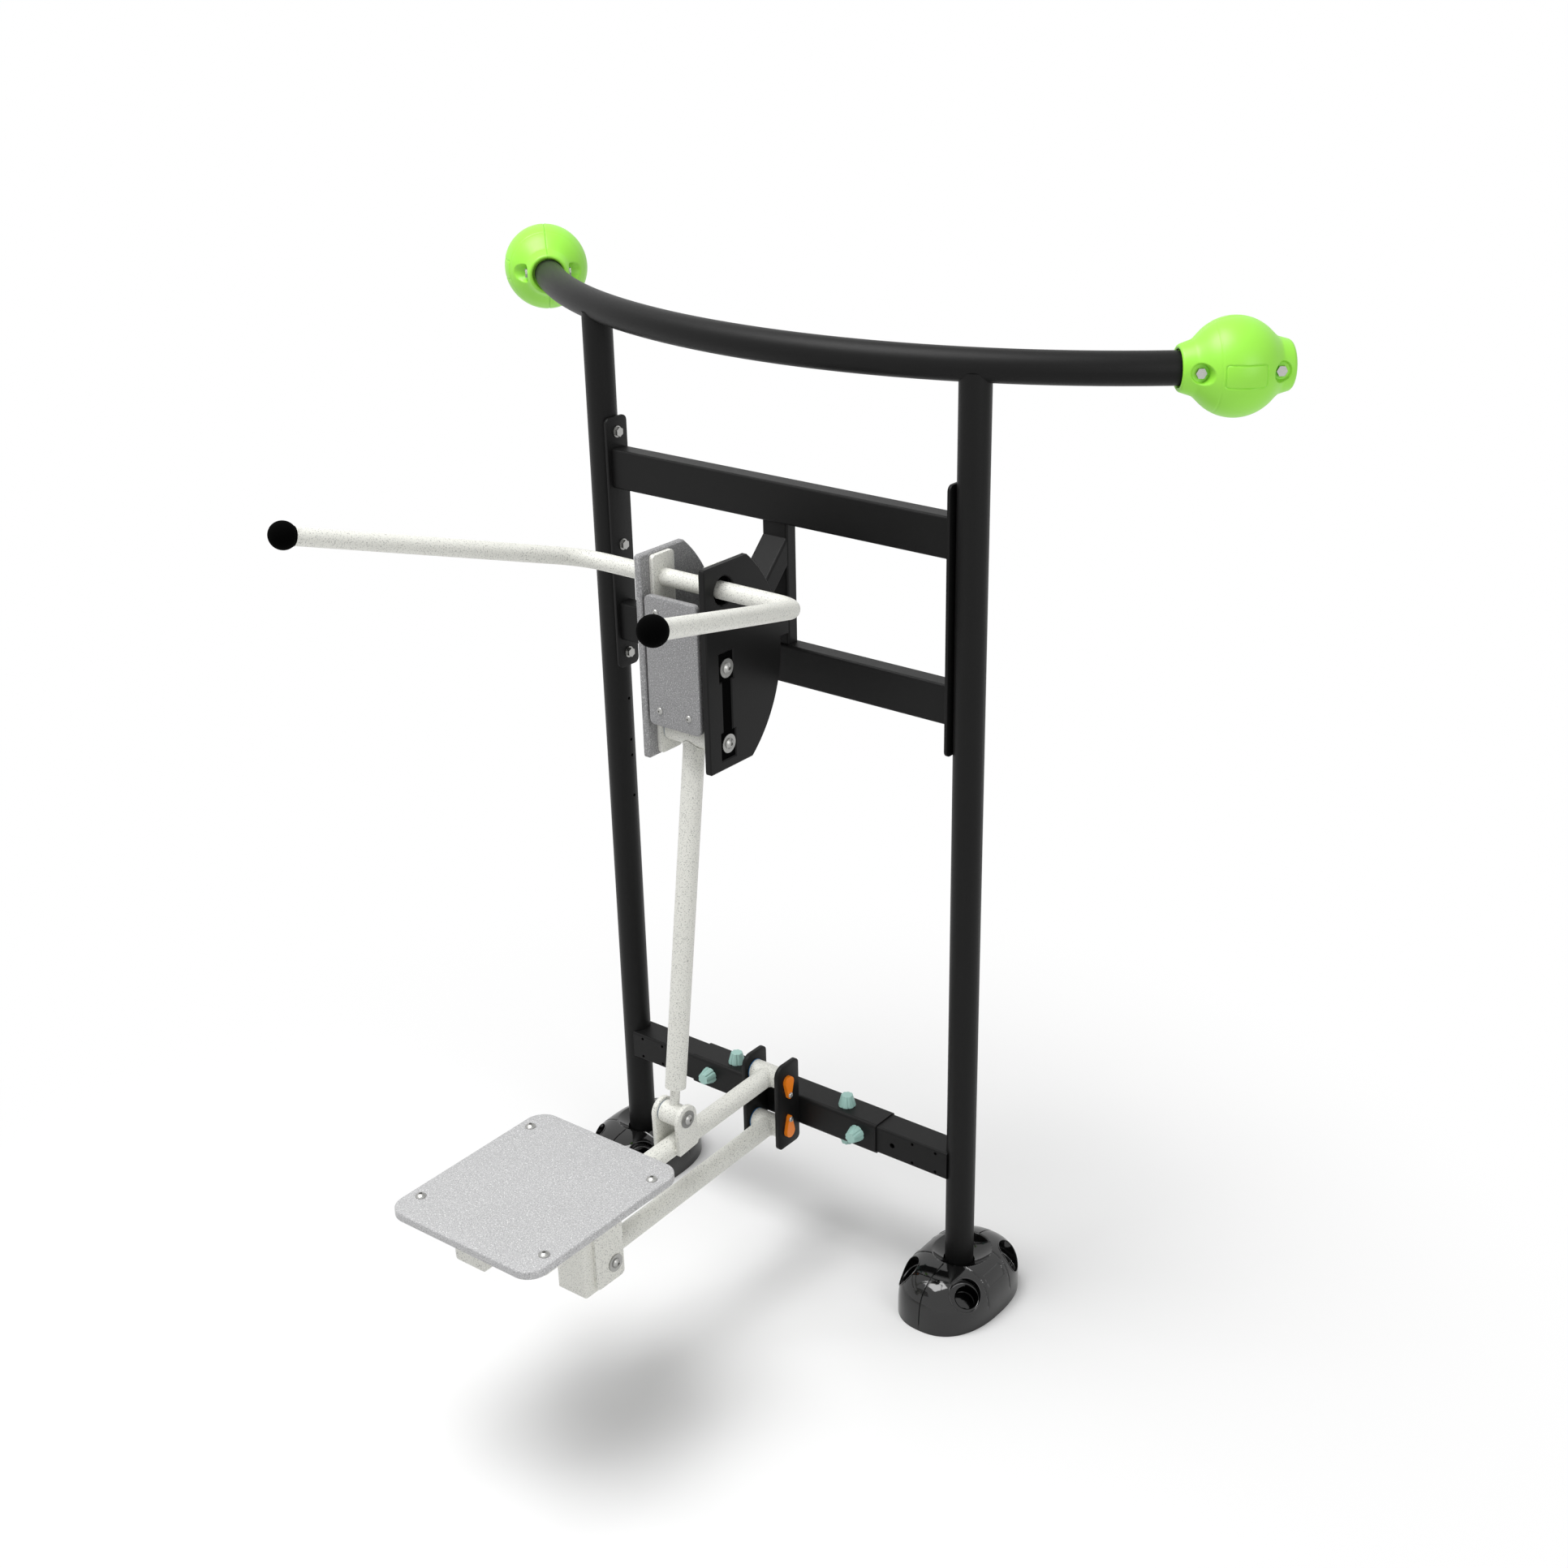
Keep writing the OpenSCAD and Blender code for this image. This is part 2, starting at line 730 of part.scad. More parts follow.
module across_knob(x, r, reach) {
    translate([x, reach, 0])
        rotate([90, 0, 0])
            cylinder(h = 2 * reach, r = r);
}

module top_rail() {
    color(black_paint)
        difference() {
            rail_sweep(post_r, rail_end_angle);
            rail_sweep(post_r - rail_wall, rail_end_angle + spare_angle);
            for (side = sides)
                at_knob(side)
                    across_knob(-knob_bolt_x, bolt_d / 2 + hole_gap, post_od);
        }
}

module base_plate() {
    difference() {
        translate([post_half_span, 0, 0])
            linear_extrude(base_t)
                round_rect(base_w, base_d, base_corner_r);
        for (x = sides, y = sides)
            translate([post_half_span + x * anchor_pitch_x / 2, y * anchor_pitch_y / 2, -overrun])
                cylinder(h = base_t + 2 * overrun, r = anchor_hole_d / 2);
    }
}

module base_plate_left() color(black_paint) on_side(-1) base_plate();
module base_plate_right() color(black_paint) base_plate();

function dome_point(a, b, h, turn, rise) = let (r = pow(cos(rise), 2 / cover_rise_exponent))
    [a * r * signed_pow(cos(turn), 2 / cover_plan_exponent),
     b * r * signed_pow(sin(turn), 2 / cover_plan_exponent),
     h * pow(sin(rise), 2 / cover_rise_exponent)];

// Solid dome with a superellipse for its plan and its rise
module dome(a, b, h) {
    n = cover_side_count;
    rings = [for (k = [0 : cover_ring_count - 1], i = [0 : n - 1])
        dome_point(a, b, h, 360 * i / n, 90 * k / cover_ring_count)];
    walls = [for (k = [0 : cover_ring_count - 2], i = [0 : n - 1])
        let (j = (i + 1) % n)
            each [[k * n + i, (k + 1) * n + i, (k + 1) * n + j], [k * n + i, (k + 1) * n + j, k * n + j]]];
    top = [for (i = [0 : n - 1])
        [(cover_ring_count - 1) * n + i, cover_ring_count * n, (cover_ring_count - 1) * n + (i + 1) % n]];
    polyhedron(points = concat(rings, [[0, 0, h]]),
        faces = concat([[for (i = [0 : n - 1]) i]], walls, top));
}

// Bowl round the post, as a solid that the dome loses
module dish(extra) {
    translate([0, cover_half_d * dish_back_share, dish_floor_z + dish_r])
        sphere(dish_r + extra);
}

// One half of the foot cover of the right post; half is 1 for the outer half
module foot_cover_half(half) {
    translate([post_half_span, 0, 0])
        difference() {
            dome(cover_half_w, cover_half_d, cover_h);
            dish(0);
            difference() {
                translate([0, 0, -overrun])
                    dome(cover_half_w - cover_wall, cover_half_d - cover_wall,
                        cover_h - cover_wall + overrun);
                dish(cover_wall);
            }
            cylinder(h = 2 * cover_h, r = post_r + loose_gap);
            for (y = sides)
                translate([half * access_pitch_x / 2, y * access_pitch_y / 2, access_hole_z])
                    rotate([0, access_tilt_angle, y * half * (90 - access_turn_angle) + (half < 0 ? 180 : 0)])
                        translate([0, 0, -access_depth])
                            cylinder(h = access_hole_d, r = access_hole_d / 2);
            for (y = sides)
                translate([half * anchor_pitch_x / 2, y * anchor_pitch_y / 2, -overrun])
                    cylinder(h = 2 * cover_h, r = access_bore_d / 2);
            translate([-half * cover_half_w, 0, 0])
                cube([2 * cover_half_w, 4 * cover_half_d, 4 * cover_h], center = true);
        }
}

module foot_cover_left_outer() color(black_plastic) on_side(-1) foot_cover_half(1);
module foot_cover_left_inner() color(black_plastic) on_side(-1) foot_cover_half(-1);
module foot_cover_right_outer() color(black_plastic) foot_cover_half(1);
module foot_cover_right_inner() color(black_plastic) foot_cover_half(-1);

// Ball, necks and domed end of a knob, turned round Z, with the hollow inside
module knob_body() {
    difference() {
        union() {
            sphere(knob_r);
            translate([0, 0, -knob_mouth_len])
                cylinder(h = knob_mouth_len - knob_root, r1 = knob_mouth_r, r2 = knob_neck_r);
            translate([0, 0, knob_root])
                cylinder(h = knob_half_len - knob_end_dome - knob_root, r1 = knob_neck_r, r2 = knob_end_r);
            intersection() {
                translate([0, 0, knob_half_len - knob_cap_r])
                    sphere(knob_cap_r);
                translate([0, 0, knob_half_len - knob_end_dome])
                    cylinder(h = knob_end_dome, r = knob_end_r);
            }
        }
        rotate_extrude()
            translate([sqrt(pow(knob_r, 2) - pow(knob_groove_x, 2)) - knob_groove, -knob_groove_x])
                square([knob_r, knob_groove]);
        intersection() {
            sphere(knob_r - knob_wall);
            cylinder(h = 2 * knob_hollow_half, r = knob_r, center = true);
        }
    }
}

// One half of a knob, in the knob's frame; back is 1 for the back half
module knob_half(back) {
    difference() {
        rotate([0, 90, 0])
            knob_body();
        translate([0, -back * knob_half_len, 0])
            cube(2 * knob_half_len, center = true);
        for (x = [-knob_bolt_x, knob_bolt_x]) {
            across_knob(x, bolt_d / 2 + hole_gap, knob_r);
            for (y = sides)
                translate([x, y * knob_recess_y, 0])
                    rotate([-90 * y, 0, 0])
                        cylinder(h = knob_r, r = knob_recess_d / 2);
        }
        if (back < 0)
            difference() {
                along_y(-knob_r - overrun, -knob_r / 2)
                    round_rect(knob_panel_w, knob_panel_h, knob_panel_corner_r);
                sphere(knob_r - knob_panel_depth);
            }
    }
}

module knob(side, back) {
    color(lime_plastic)
        difference() {
            at_knob(side)
                knob_half(back);
            rail_sweep(post_r + loose_gap, rail_end_angle + spare_angle);
        }
}

module knob_left_front() knob(-1, -1);
module knob_left_back() knob(-1, 1);
module knob_right_front() knob(1, -1);
module knob_right_back() knob(1, 1);

// Hex bolt through both halves of a knob, with a nut on its far end
module knob_bolt() {
    rotate([90, 0, 0])
        translate([0, 0, knob_recess_y])
            cylinder(h = bolt_head_h, r = hex_r(bolt_af), $fn = 6);
    across_knob(0, bolt_d / 2, knob_recess_y + bolt_head_h);
    translate([0, knob_recess_y + bolt_head_h, 0])
        rotate([90, 0, 0])
            difference() {
                cylinder(h = bolt_head_h, r = hex_r(bolt_af), $fn = 6);
                translate([0, 0, -overrun])
                    cylinder(h = bolt_head_h + 2 * overrun, r = bolt_d / 2 + seat_gap);
            }
}

module knob_bolts() {
    color(steel_grey)
        for (side = sides, x = [-knob_bolt_x, knob_bolt_x])
            at_knob(side)
                translate([x, 0, 0])
                    knob_bolt();
}

module flange_plates() {
    color(black_paint)
        for (side = sides)
            on_side(side)
                difference() {
                    along_x(flange_in_x, flange_in_x + flange_t)
                        translate([0, frame_mid_z])
                            round_rect(flange_w, flange_len, flange_corner_r);
                    flange_bolt_holes(bolt_d / 2 + hole_gap);
                }
}

module flange_bolts() {
    color(steel_grey)
        for (side = sides, i = [-1 : 1])
            on_side(side)
                translate([flange_in_x, 0, frame_mid_z + i * flange_bolt_pitch])
                    rotate([0, -90, 0]) {
                        translate([0, 0, seat_gap])
                            washer(bolt_washer_d, bolt_d / 2 + hole_gap, bolt_washer_t);
                        translate([0, 0, bolt_washer_t + 2 * seat_gap])
                            cylinder(h = bolt_head_h, r = hex_r(bolt_af), $fn = 6);
                        translate([0, 0, -flange_t - post_wall])
                            cylinder(h = flange_t + post_wall + bolt_washer_t + 2 * seat_gap + bolt_head_h / 2,
                                r = bolt_d / 2);
                    }
}

module crossbar(z) {
    color(black_paint)
        along_x(-flange_in_x, flange_in_x)
            translate([0, z])
                box_section(crossbar_d, crossbar_h, box_corner_r, box_wall);
}

module crossbar_upper() crossbar(crossbar_upper_z);
module crossbar_lower() crossbar(crossbar_lower_z);

module centre_upright() {
    color(black_paint)
        translate([0, 0, upright_bottom_z])
            linear_extrude(upright_top_z - upright_bottom_z)
                box_section(upright_w, upright_d, box_corner_r, box_wall);
}

module brace() {
    color(black_paint)
        intersection() {
            translate([0, -upright_d / 2, pivot_z + brace_up])
                rotate([brace_angle - 90, 0, 0])
                    linear_extrude(crossbar_pitch * 2, center = true)
                        box_section(upright_w, stub_h, box_corner_r, box_wall);
            translate([-upright_w, -pivot_y, pivot_z + stub_h / 2])
                cube([2 * upright_w, pivot_y - upright_d / 2, crossbar_pitch]);
        }
}

module pivot_stub() {
    color(black_paint)
        difference() {
            along_y(-pivot_y, -upright_d / 2)
                translate([0, pivot_z])
                    box_section(upright_w, stub_h, box_corner_r, box_wall);
            at_yz(pivot)
                rod_x(-upright_w, upright_w, hub_r + weld_gap);
        }
}

module pivot_hub() {
    color(black_paint)
        at_yz(pivot)
            difference() {
                rod_x(-hub_half, hub_half, hub_r);
                rod_x(-hub_half - overrun, hub_half + overrun, bush_seat_r);
            }
}

module hub_bushes() {
    color(blue_plastic)
        at_yz(pivot)
            bush_pair(hub_half);
}

// Bores for the clamp bolts, drawn for the right side
module clamp_bolt_holes() {
    r = clamp_bolt_d / 2 + hole_gap;
    translate([clamp_bolt_upright_x, 0, bottom_bar_z - clamp_size])
        cylinder(h = 2 * clamp_size, r = r);
    translate([clamp_bolt_level_x, clamp_size, bottom_bar_z])
        rotate([90, 0, 0])
            cylinder(h = 2 * clamp_size, r = r);
}

module bottom_bar() {
    difference() {
        along_x(bottom_bar_half_gap, post_half_span - post_r / 2)
            translate([0, bottom_bar_z])
                box_section(bottom_bar_size, bottom_bar_size, box_corner_r, bottom_bar_wall);
        translate([post_half_span, 0, bottom_bar_z - clamp_size])
            cylinder(h = 2 * clamp_size, r = post_r + weld_gap);
        clamp_bolt_holes();
        translate([0, -bottom_bar_size / 2, bottom_bar_z]) {
            for (x = sides, z = sides)
                translate([post_half_span - panel_holes_in + x * panel_holes_w / 2, 0, z * panel_holes_h / 2])
                    rotate([90, 0, 0])
                        cylinder(h = 3 * bottom_bar_wall, r = panel_hole_d / 2, center = true);
            translate([post_half_span - cable_hole_in, 0, 0])
                rotate([90, 0, 0])
                    cylinder(h = 3 * bottom_bar_wall, r = cable_hole_d / 2, center = true);
        }
    }
}

module bottom_bar_left() color(black_paint) on_side(-1) bottom_bar();
module bottom_bar_right() color(black_paint) bottom_bar();

module clamp_sleeve() {
    color(black_paint)
        difference() {
            along_x(-clamp_half_len, clamp_half_len)
                translate([0, bottom_bar_z])
                    box_section(clamp_size, clamp_size, box_corner_r + clamp_wall, clamp_wall);
            for (side = sides)
                on_side(side)
                    clamp_bolt_holes();
        }
}

// Places the children, drawn along +Z from the sleeve's face, on both ends of all clamp bolts
module at_clamp_bolt_ends() {
    for (side = sides, end = sides) {
        translate([side * clamp_bolt_upright_x, 0, bottom_bar_z])
            rotate([end > 0 ? 0 : 180, 0, 0])
                translate([0, 0, clamp_size / 2])
                    children();
        translate([side * clamp_bolt_level_x, 0, bottom_bar_z])
            rotate([end * 90, 0, 0])
                translate([0, 0, clamp_size / 2])
                    children();
    }
}

module clamp_bolts() {
    color(steel_grey) {
        at_clamp_bolt_ends()
            difference() {
                cylinder(h = clamp_bolt_head_h, r = hex_r(clamp_bolt_af), $fn = 6);
                translate([0, 0, -overrun])
                    cylinder(h = clamp_bolt_head_h + 2 * overrun, r = clamp_bolt_d / 2 + seat_gap);
            }
        for (side = sides) {
            translate([side * clamp_bolt_upright_x, 0, bottom_bar_z])
                cylinder(h = clamp_size + 2 * clamp_bolt_head_h, r = clamp_bolt_d / 2, center = true);
            translate([side * clamp_bolt_level_x, 0, bottom_bar_z])
                rotate([90, 0, 0])
                    cylinder(h = clamp_size + 2 * clamp_bolt_head_h, r = clamp_bolt_d / 2, center = true);
        }
    }
}

// Tapered cap with flutes, hollow over the bolt's head, standing on z = 0
module flute_cap() {
    taper_angle = atan2((flute_cap_d - flute_cap_top_d) / 2, flute_cap_h);
    difference() {
        cylinder(h = flute_cap_h, r1 = flute_cap_d / 2, r2 = flute_cap_top_d / 2);
        translate([0, 0, -overrun])
            cylinder(h = clamp_bolt_head_h + 2 * overrun, r = hex_r(clamp_bolt_af) + loose_gap);
        for (i = [0 : flute_count - 1])
            rotate([0, 0, 360 * i / flute_count])
                translate([flute_cap_d / 2 + flute_d * flute_out_share, 0, 0])
                    rotate([0, -taper_angle, 0])
                        cylinder(h = 4 * flute_cap_h, r = flute_d / 2, center = true);
    }
}

module bolt_caps() {
    color(mint_plastic)
        at_clamp_bolt_ends()
            flute_cap();
}

module bearing_plates() {
    color(black_paint)
        for (side = sides)
            on_side(side)
                difference() {
                    along_x(bearing_half_gap, bearing_out)
                        translate([clamp_front_y - bearing_plate_w / 2, bearing_plate_z])
                            round_rect(bearing_plate_w, bearing_plate_h, bearing_corner_r);
                    for (p = [upper_rear, lower_rear])
                        at_yz(p)
                            rod_x(bearing_half_gap - overrun, bearing_out + overrun, axle_seat_r);
                    at_cap_screws()
                        translate([0, 0, -bearing_plate_t - overrun])
                            cylinder(h = bearing_plate_t + 2 * overrun, r = tiny_screw_d / 2 + seat_gap);
                }
}

// The children, drawn along +Z from the bearing plate's outer face, at the right cap screws
module at_cap_screws() {
    for (p = [upper_rear - [0, cap_screw_at], lower_rear + [0, cap_screw_at]])
        translate([bearing_out, p[0], p[1]])
            rotate([0, 90, 0])
                children();
}

module teardrop(r, tip_r, reach) {
    lean = acos((r - tip_r) / (reach - tip_r));
    far = reach - tip_r;
    circle(r);
    translate([0, far])
        circle(tip_r);
    polygon([[-r * sin(lean), r * cos(lean)], [r * sin(lean), r * cos(lean)],
        [tip_r * sin(lean), far + tip_r * cos(lean)], [-tip_r * sin(lean), far + tip_r * cos(lean)]]);
}

module bearing_caps() {
    color(orange_plastic)
        for (side = sides)
            on_side(side)
                difference() {
                    along_x(bearing_out, bearing_out + cap_t) {
                        translate(upper_rear)
                            mirror([0, 1])
                                teardrop(cap_r, cap_tip_r, cap_reach);
                        translate(lower_rear)
                            teardrop(cap_r, cap_tip_r, cap_reach);
                    }
                    at_cap_screws()
                        cylinder(h = 4 * cap_t, r = tiny_screw_d / 2 + seat_gap, center = true);
                }
}

module bearing_cap_screws() {
    color(steel_grey)
        for (side = sides)
            on_side(side)
                at_cap_screws()
                    translate([0, 0, cap_t])
                        button_screw(tiny_screw_d, cap_t + bearing_plate_t / 2, tiny_head_d, tiny_head_h);
}

module arm_axles() {
    color(steel_grey)
        for (p = [upper_rear, lower_rear])
            at_yz(p)
                rod_x(-bearing_out, bearing_out, axle_r);
}

// The children, drawn along +Z from the lever plate's inner face outwards, at the right cheek screws
module at_cheek_screws() {
    for (y = cheek_screw_y_shares, z = cheek_screw_z_shares)
        translate([lever_half_gap, -pivot_y + y * lever_plate_w, pivot_z + z * lever_plate_len])
            rotate([0, 90, 0])
                children();
}

module lever_plates() {
    color(cream_paint)
        for (side = sides)
            on_side(side)
                difference() {
                    along_x(lever_half_gap, lever_plate_out)
                        translate(pivot)
                            round_rect(lever_plate_w, lever_plate_len, lever_plate_corner_r);
                    at_yz(pivot)
                        rod_x(0, cheek_out, axle_seat_r);
                    at_yz(crank_pin)
                        rod_x(0, cheek_out, big_hole_r);
                    at_yz(pivot + [0, handle_up])
                        rod_x(0, cheek_out, handle_od / 2 + seat_gap);
                    at_cheek_screws()
                        cylinder(h = 4 * lever_plate_t, r = tiny_screw_d / 2 + hole_gap, center = true);
                }
}

// Stations along the bent bar in its own plane, each [x, y, heading]
function bend_station(heading) =
    [sign(heading) * handle_straight + handle_bend_r * sin(heading),
     handle_bend_r * (cos(heading) - 1), heading];
function end_station(side) =
    let (a = side * handle_bend_angle, p = bend_station(a), run = handle_reach - handle_tangent)
        [p[0] + side * run * cos(a), p[1] - side * run * sin(a), a];
function bar_ring(station, r) = [for (i = [0 : tube_fn - 1])
    let (q = 360 * i / tube_fn, side = r * cos(q))
        [station[0] + side * sin(station[2]), station[1] + side * cos(station[2]), r * sin(q)]];

// Tube of the given radius and wall through the stations
module station_tube(stations, r, wall) {
    n = tube_fn;
    m = len(stations);
    inner = m * n;
    last = (m - 1) * n;
    points = concat([for (s = stations) each bar_ring(s, r)],
        [for (s = stations) each bar_ring(s, r - wall)]);
    walls = [for (s = [0 : m - 2], i = [0 : n - 1])
        let (a = s * n + i, b = s * n + (i + 1) % n)
            each [[a, a + n, b + n], [a, b + n, b],
                [inner + a, inner + b + n, inner + a + n], [inner + a, inner + b, inner + b + n]]];
    ends = [for (i = [0 : n - 1])
        let (j = (i + 1) % n)
            each [[i, j, inner + j], [i, inner + j, inner + i],
                [last + i, inner + last + j, last + j], [last + i, inner + last + i, inner + last + j]]];
    polyhedron(points = points, faces = concat(walls, ends));
}

// Goes to the centre of the right ball end, with Z along the bar and away from it
module at_bar_end() {
    at_yz(pivot + [0, handle_up])
        rotate([-handle_rise_angle, 0, 0])
            translate([handle_straight, -handle_bend_r, 0])
                rotate([0, 0, 90 - handle_bend_angle])
                    translate([handle_bend_r, -(handle_reach - handle_tangent), 0])
                        rotate([90, 0, 0])
                            children();
}

module handlebar() {
    headings = [for (i = [1 : bend_step_count]) handle_bend_angle * i / bend_step_count];
    stations = concat([end_station(-1)],
        [for (i = [bend_step_count - 1 : -1 : 0]) bend_station(-headings[i])],
        [[-handle_straight, 0, 0], [handle_straight, 0, 0]],
        [for (h = headings) bend_station(h)],
        [end_station(1)]);
    color(cream_paint)
        at_yz(pivot + [0, handle_up])
            rotate([-handle_rise_angle, 0, 0])
                station_tube(stations, handle_od / 2, handle_wall);
}

module handle_balls() {
    color(black_plastic)
        for (side = sides)
            on_side(side)
                at_bar_end()
                    difference() {
                        sphere(handle_ball_d / 2);
                        translate([0, 0, -handle_ball_d])
                            cylinder(h = handle_ball_d, r = handle_od / 2 + seat_gap);
                    }
}

// Outline of the cut-outs at both bolts and the slot between, from the pivot
module cheek_cutout(gap) {
    for (z = [cutout_shift, -crank_r - cutout_shift])
        translate([0, z])
            square([cutout_w - 2 * gap, cutout_h - 2 * gap], center = true);
    translate([0, -crank_r / 2])
        square([cutout_slot_w - 2 * gap, crank_r], center = true);
}

module cheek_outline() {
    width = cheek_front + cheek_back;
    intersection() {
        translate([width / 2 - cheek_front, 0])
            round_rect(width, cheek_h, cheek_corner_r);
        translate([cheek_back - cheek_arc_r, 0])
            circle(cheek_arc_r);
    }
}

module cheek() {
    difference() {
        along_x(lever_plate_out, cheek_out)
            translate(pivot)
                difference() {
                    cheek_outline();
                    cheek_cutout(0);
                    translate([0, handle_up])
                        circle(cheek_bar_hole_d / 2);
                }
        at_cheek_screws()
            cylinder(h = lever_plate_t + cheek_t * cheek_screw_bite_share + overrun,
                r = tiny_screw_d / 2 + seat_gap);
    }
}

module cheek_left() color(panel_grey) on_side(-1) cheek();
module cheek_right() color(black_plastic) cheek();

module cheek_inserts() {
    color(black_plastic)
        for (side = sides)
            on_side(side)
                difference() {
                    along_x(lever_plate_out, insert_out)
                        translate(pivot)
                            cheek_cutout(loose_gap);
                    for (p = [pivot, crank_pin])
                        at_yz(p)
                            rod_x(0, cheek_out, big_hole_r);
                }
}

module cheek_screws() {
    color(steel_grey)
        for (side = sides)
            on_side(side)
                at_cheek_screws()
                    mirror([0, 0, 1])
                        button_screw(tiny_screw_d, lever_plate_t + cheek_t * cheek_screw_bite_share,
                            tiny_head_d, tiny_head_h);
}

// The children, drawn along +Z out of the front cover's face, at its four screws
module at_cover_screws() {
    for (x = sides, z = sides)
        translate([x * cover_screw_pitch_x / 2, cover_back_y - front_cover_t,
            cover_mid_z + z * cover_screw_pitch_z / 2])
            rotate([90, 0, 0])
                children();
}

module cover_rails() {
    color(cream_paint)
        difference() {
            along_y(cover_back_y, cover_back_y + cover_rail_d)
                for (z = sides)
                    translate([0, cover_mid_z + z * cover_screw_pitch_z / 2])
                        square([cover_rail_len, cover_rail_h], center = true);
            at_cover_screws()
                cylinder(h = 4 * (front_cover_t + cover_rail_d), r = small_screw_d / 2 + seat_gap,
                    center = true);
        }
}

module front_cover() {
    color(panel_grey)
        difference() {
            along_y(cover_back_y - front_cover_t, cover_back_y)
                translate([0, cover_mid_z])
                    round_rect(front_cover_w, front_cover_h, front_cover_corner_r);
            at_cover_screws()
                cylinder(h = 4 * front_cover_t, r = small_screw_d / 2 + hole_gap, center = true);
        }
}

module cover_screws() {
    color(steel_grey)
        at_cover_screws()
            button_screw(small_screw_d, front_cover_t + cover_rail_d, small_head_d, small_head_h);
}

module pivot_axle() {
    color(steel_grey)
        at_yz(pivot)
            axle(lever_plate_out);
}

module lever_screws() {
    color(steel_grey) {
        at_yz(pivot)
            end_screws(insert_out, insert_out - lever_plate_out + big_screw_in);
        at_yz(crank_pin)
            end_screws(insert_out, insert_out - lever_half_gap - side_gap);
    }
}

// Places the children, drawn along +Z down the rod from its top axle
module along_rod() {
    aim(crank_pin, clevis_at)
        children();
}

module tie_rod() {
    tube_end = rod_len - rod_tube_gap;
    color(cream_paint)
        difference() {
            union() {
                at_yz(crank_pin)
                    rod_x(-hub_half, hub_half, sleeve_r);
                along_rod()
                    cylinder(h = tube_end, r = arm_r);
            }
            at_yz(crank_pin)
                rod_x(-hub_half - overrun, hub_half + overrun, bush_seat_r);
            along_rod()
                translate([0, 0, sleeve_r])
                    cylinder(h = tube_end - sleeve_r - rod_plug_len, r = arm_r - arm_wall);
            along_rod()
                cylinder(h = rod_len, r = stud_d / 2 + seat_gap);
        }
}

module rod_top_axle() {
    color(steel_grey)
        at_yz(crank_pin)
            rod_x(-lever_half_gap + side_gap, lever_half_gap - side_gap, axle_r);
}

module rod_bushes() {
    color(blue_plastic) {
        at_yz(crank_pin)
            bush_pair(hub_half);
        at_yz(clevis_at)
            bush_pair(eye_half);
    }
}

module rod_eye() {
    color(cream_paint)
        difference() {
            union() {
                at_yz(clevis_at)
                    rod_x(-eye_half, eye_half, sleeve_r - weld_gap);
                aim(clevis_at, crank_pin)
                    cylinder(h = rod_tube_gap + rod_plug_len, r = stud_d / 2);
            }
            at_yz(clevis_at)
                rod_x(-eye_half - overrun, eye_half + overrun, bush_seat_r);
        }
}

// Arm tube with a sleeve on each end, from rear point p to front point q
module arm(p, q) {
    difference() {
        union() {
            aim(p, q)
                cylinder(h = arm_len, r = arm_r);
            at_yz(p)
                rod_x(-rear_sleeve_half, rear_sleeve_half, sleeve_r);
            at_yz(q)
                rod_x(-front_sleeve_half, front_sleeve_half, sleeve_r);
        }
        aim(p, q)
            translate([0, 0, sleeve_r])
                cylinder(h = arm_len - sleeve_od, r = arm_r - arm_wall);
        at_yz(p)
            rod_x(-rear_sleeve_half - overrun, rear_sleeve_half + overrun, bush_seat_r);
        at_yz(q)
            rod_x(-front_sleeve_half - overrun, front_sleeve_half + overrun, bush_seat_r);
    }
}

module arm_bushes(p, q) {
    at_yz(p)
        bush_pair(rear_sleeve_half);
    at_yz(q)
        bush_pair(front_sleeve_half);
}

module upper_arm() color(cream_paint) arm(upper_rear, upper_front);
module upper_arm_bushes() color(blue_plastic) arm_bushes(upper_rear, upper_front);
module lower_arm() color(cream_paint) arm(lower_rear, lower_front);
module lower_arm_bushes() color(blue_plastic) arm_bushes(lower_rear, lower_front);

// Clevis plate: round at the pin, down to a wider foot on the arm's flank
module clevis_plates() {
    color(cream_paint)
        for (side = sides)
            on_side(side)
                difference() {
                    union() {
                        along_x(clevis_half_gap, clevis_half_gap + clevis_t)
                            translate(clevis_at)
                                rotate([0, 0, arm_slope_angle]) {
                                    circle(clevis_r);
                                    polygon([[-clevis_r, 0], [clevis_r, 0],
                                        [clevis_foot_w / 2, -clevis_up],
                                        [clevis_foot_w / 2, -clevis_up - clevis_foot_h / 2],
                                        [-clevis_r, -clevis_up - clevis_foot_h / 2]]);
                                }
                        along_x(arm_r / 2, clevis_half_gap)
                            translate(clevis_at)
                                rotate([0, 0, arm_slope_angle])
                                    translate([0, -clevis_up])
                                        square([clevis_r * 2, clevis_foot_h], center = true);
                    }
                    at_yz(clevis_at)
                        rod_x(0, clevis_half_gap + 2 * clevis_t, axle_seat_r);
                    aim(upper_rear, upper_front)
                        cylinder(h = arm_len, r = arm_r + weld_gap);
                }
}

module clevis_pin() {
    half = clevis_half_gap + clevis_t;
    color(steel_grey)
        at_yz(clevis_at) {
            axle(half);
            end_screws(half, big_screw_in);
        }
}

// The children at the panel's four screws, with z = 0 on the panel's top
module at_panel_screws() {
    for (x = sides, i = [0, 1])
        translate([x * panel_screw_pitch_x / 2, panel_screw_rear_y - i * panel_screw_pitch_y, panel_top_z])
            children();
}

module footplate_panel() {
    color(panel_grey)
        difference() {
            translate([0, panel_mid_y, panel_top_z - panel_t])
                linear_extrude(panel_t)
                    round_rect(panel_w, panel_d, panel_corner_r);
            at_panel_screws()
                cylinder(h = 4 * panel_t, r = bolt_d / 2 + hole_gap, center = true);
        }
}

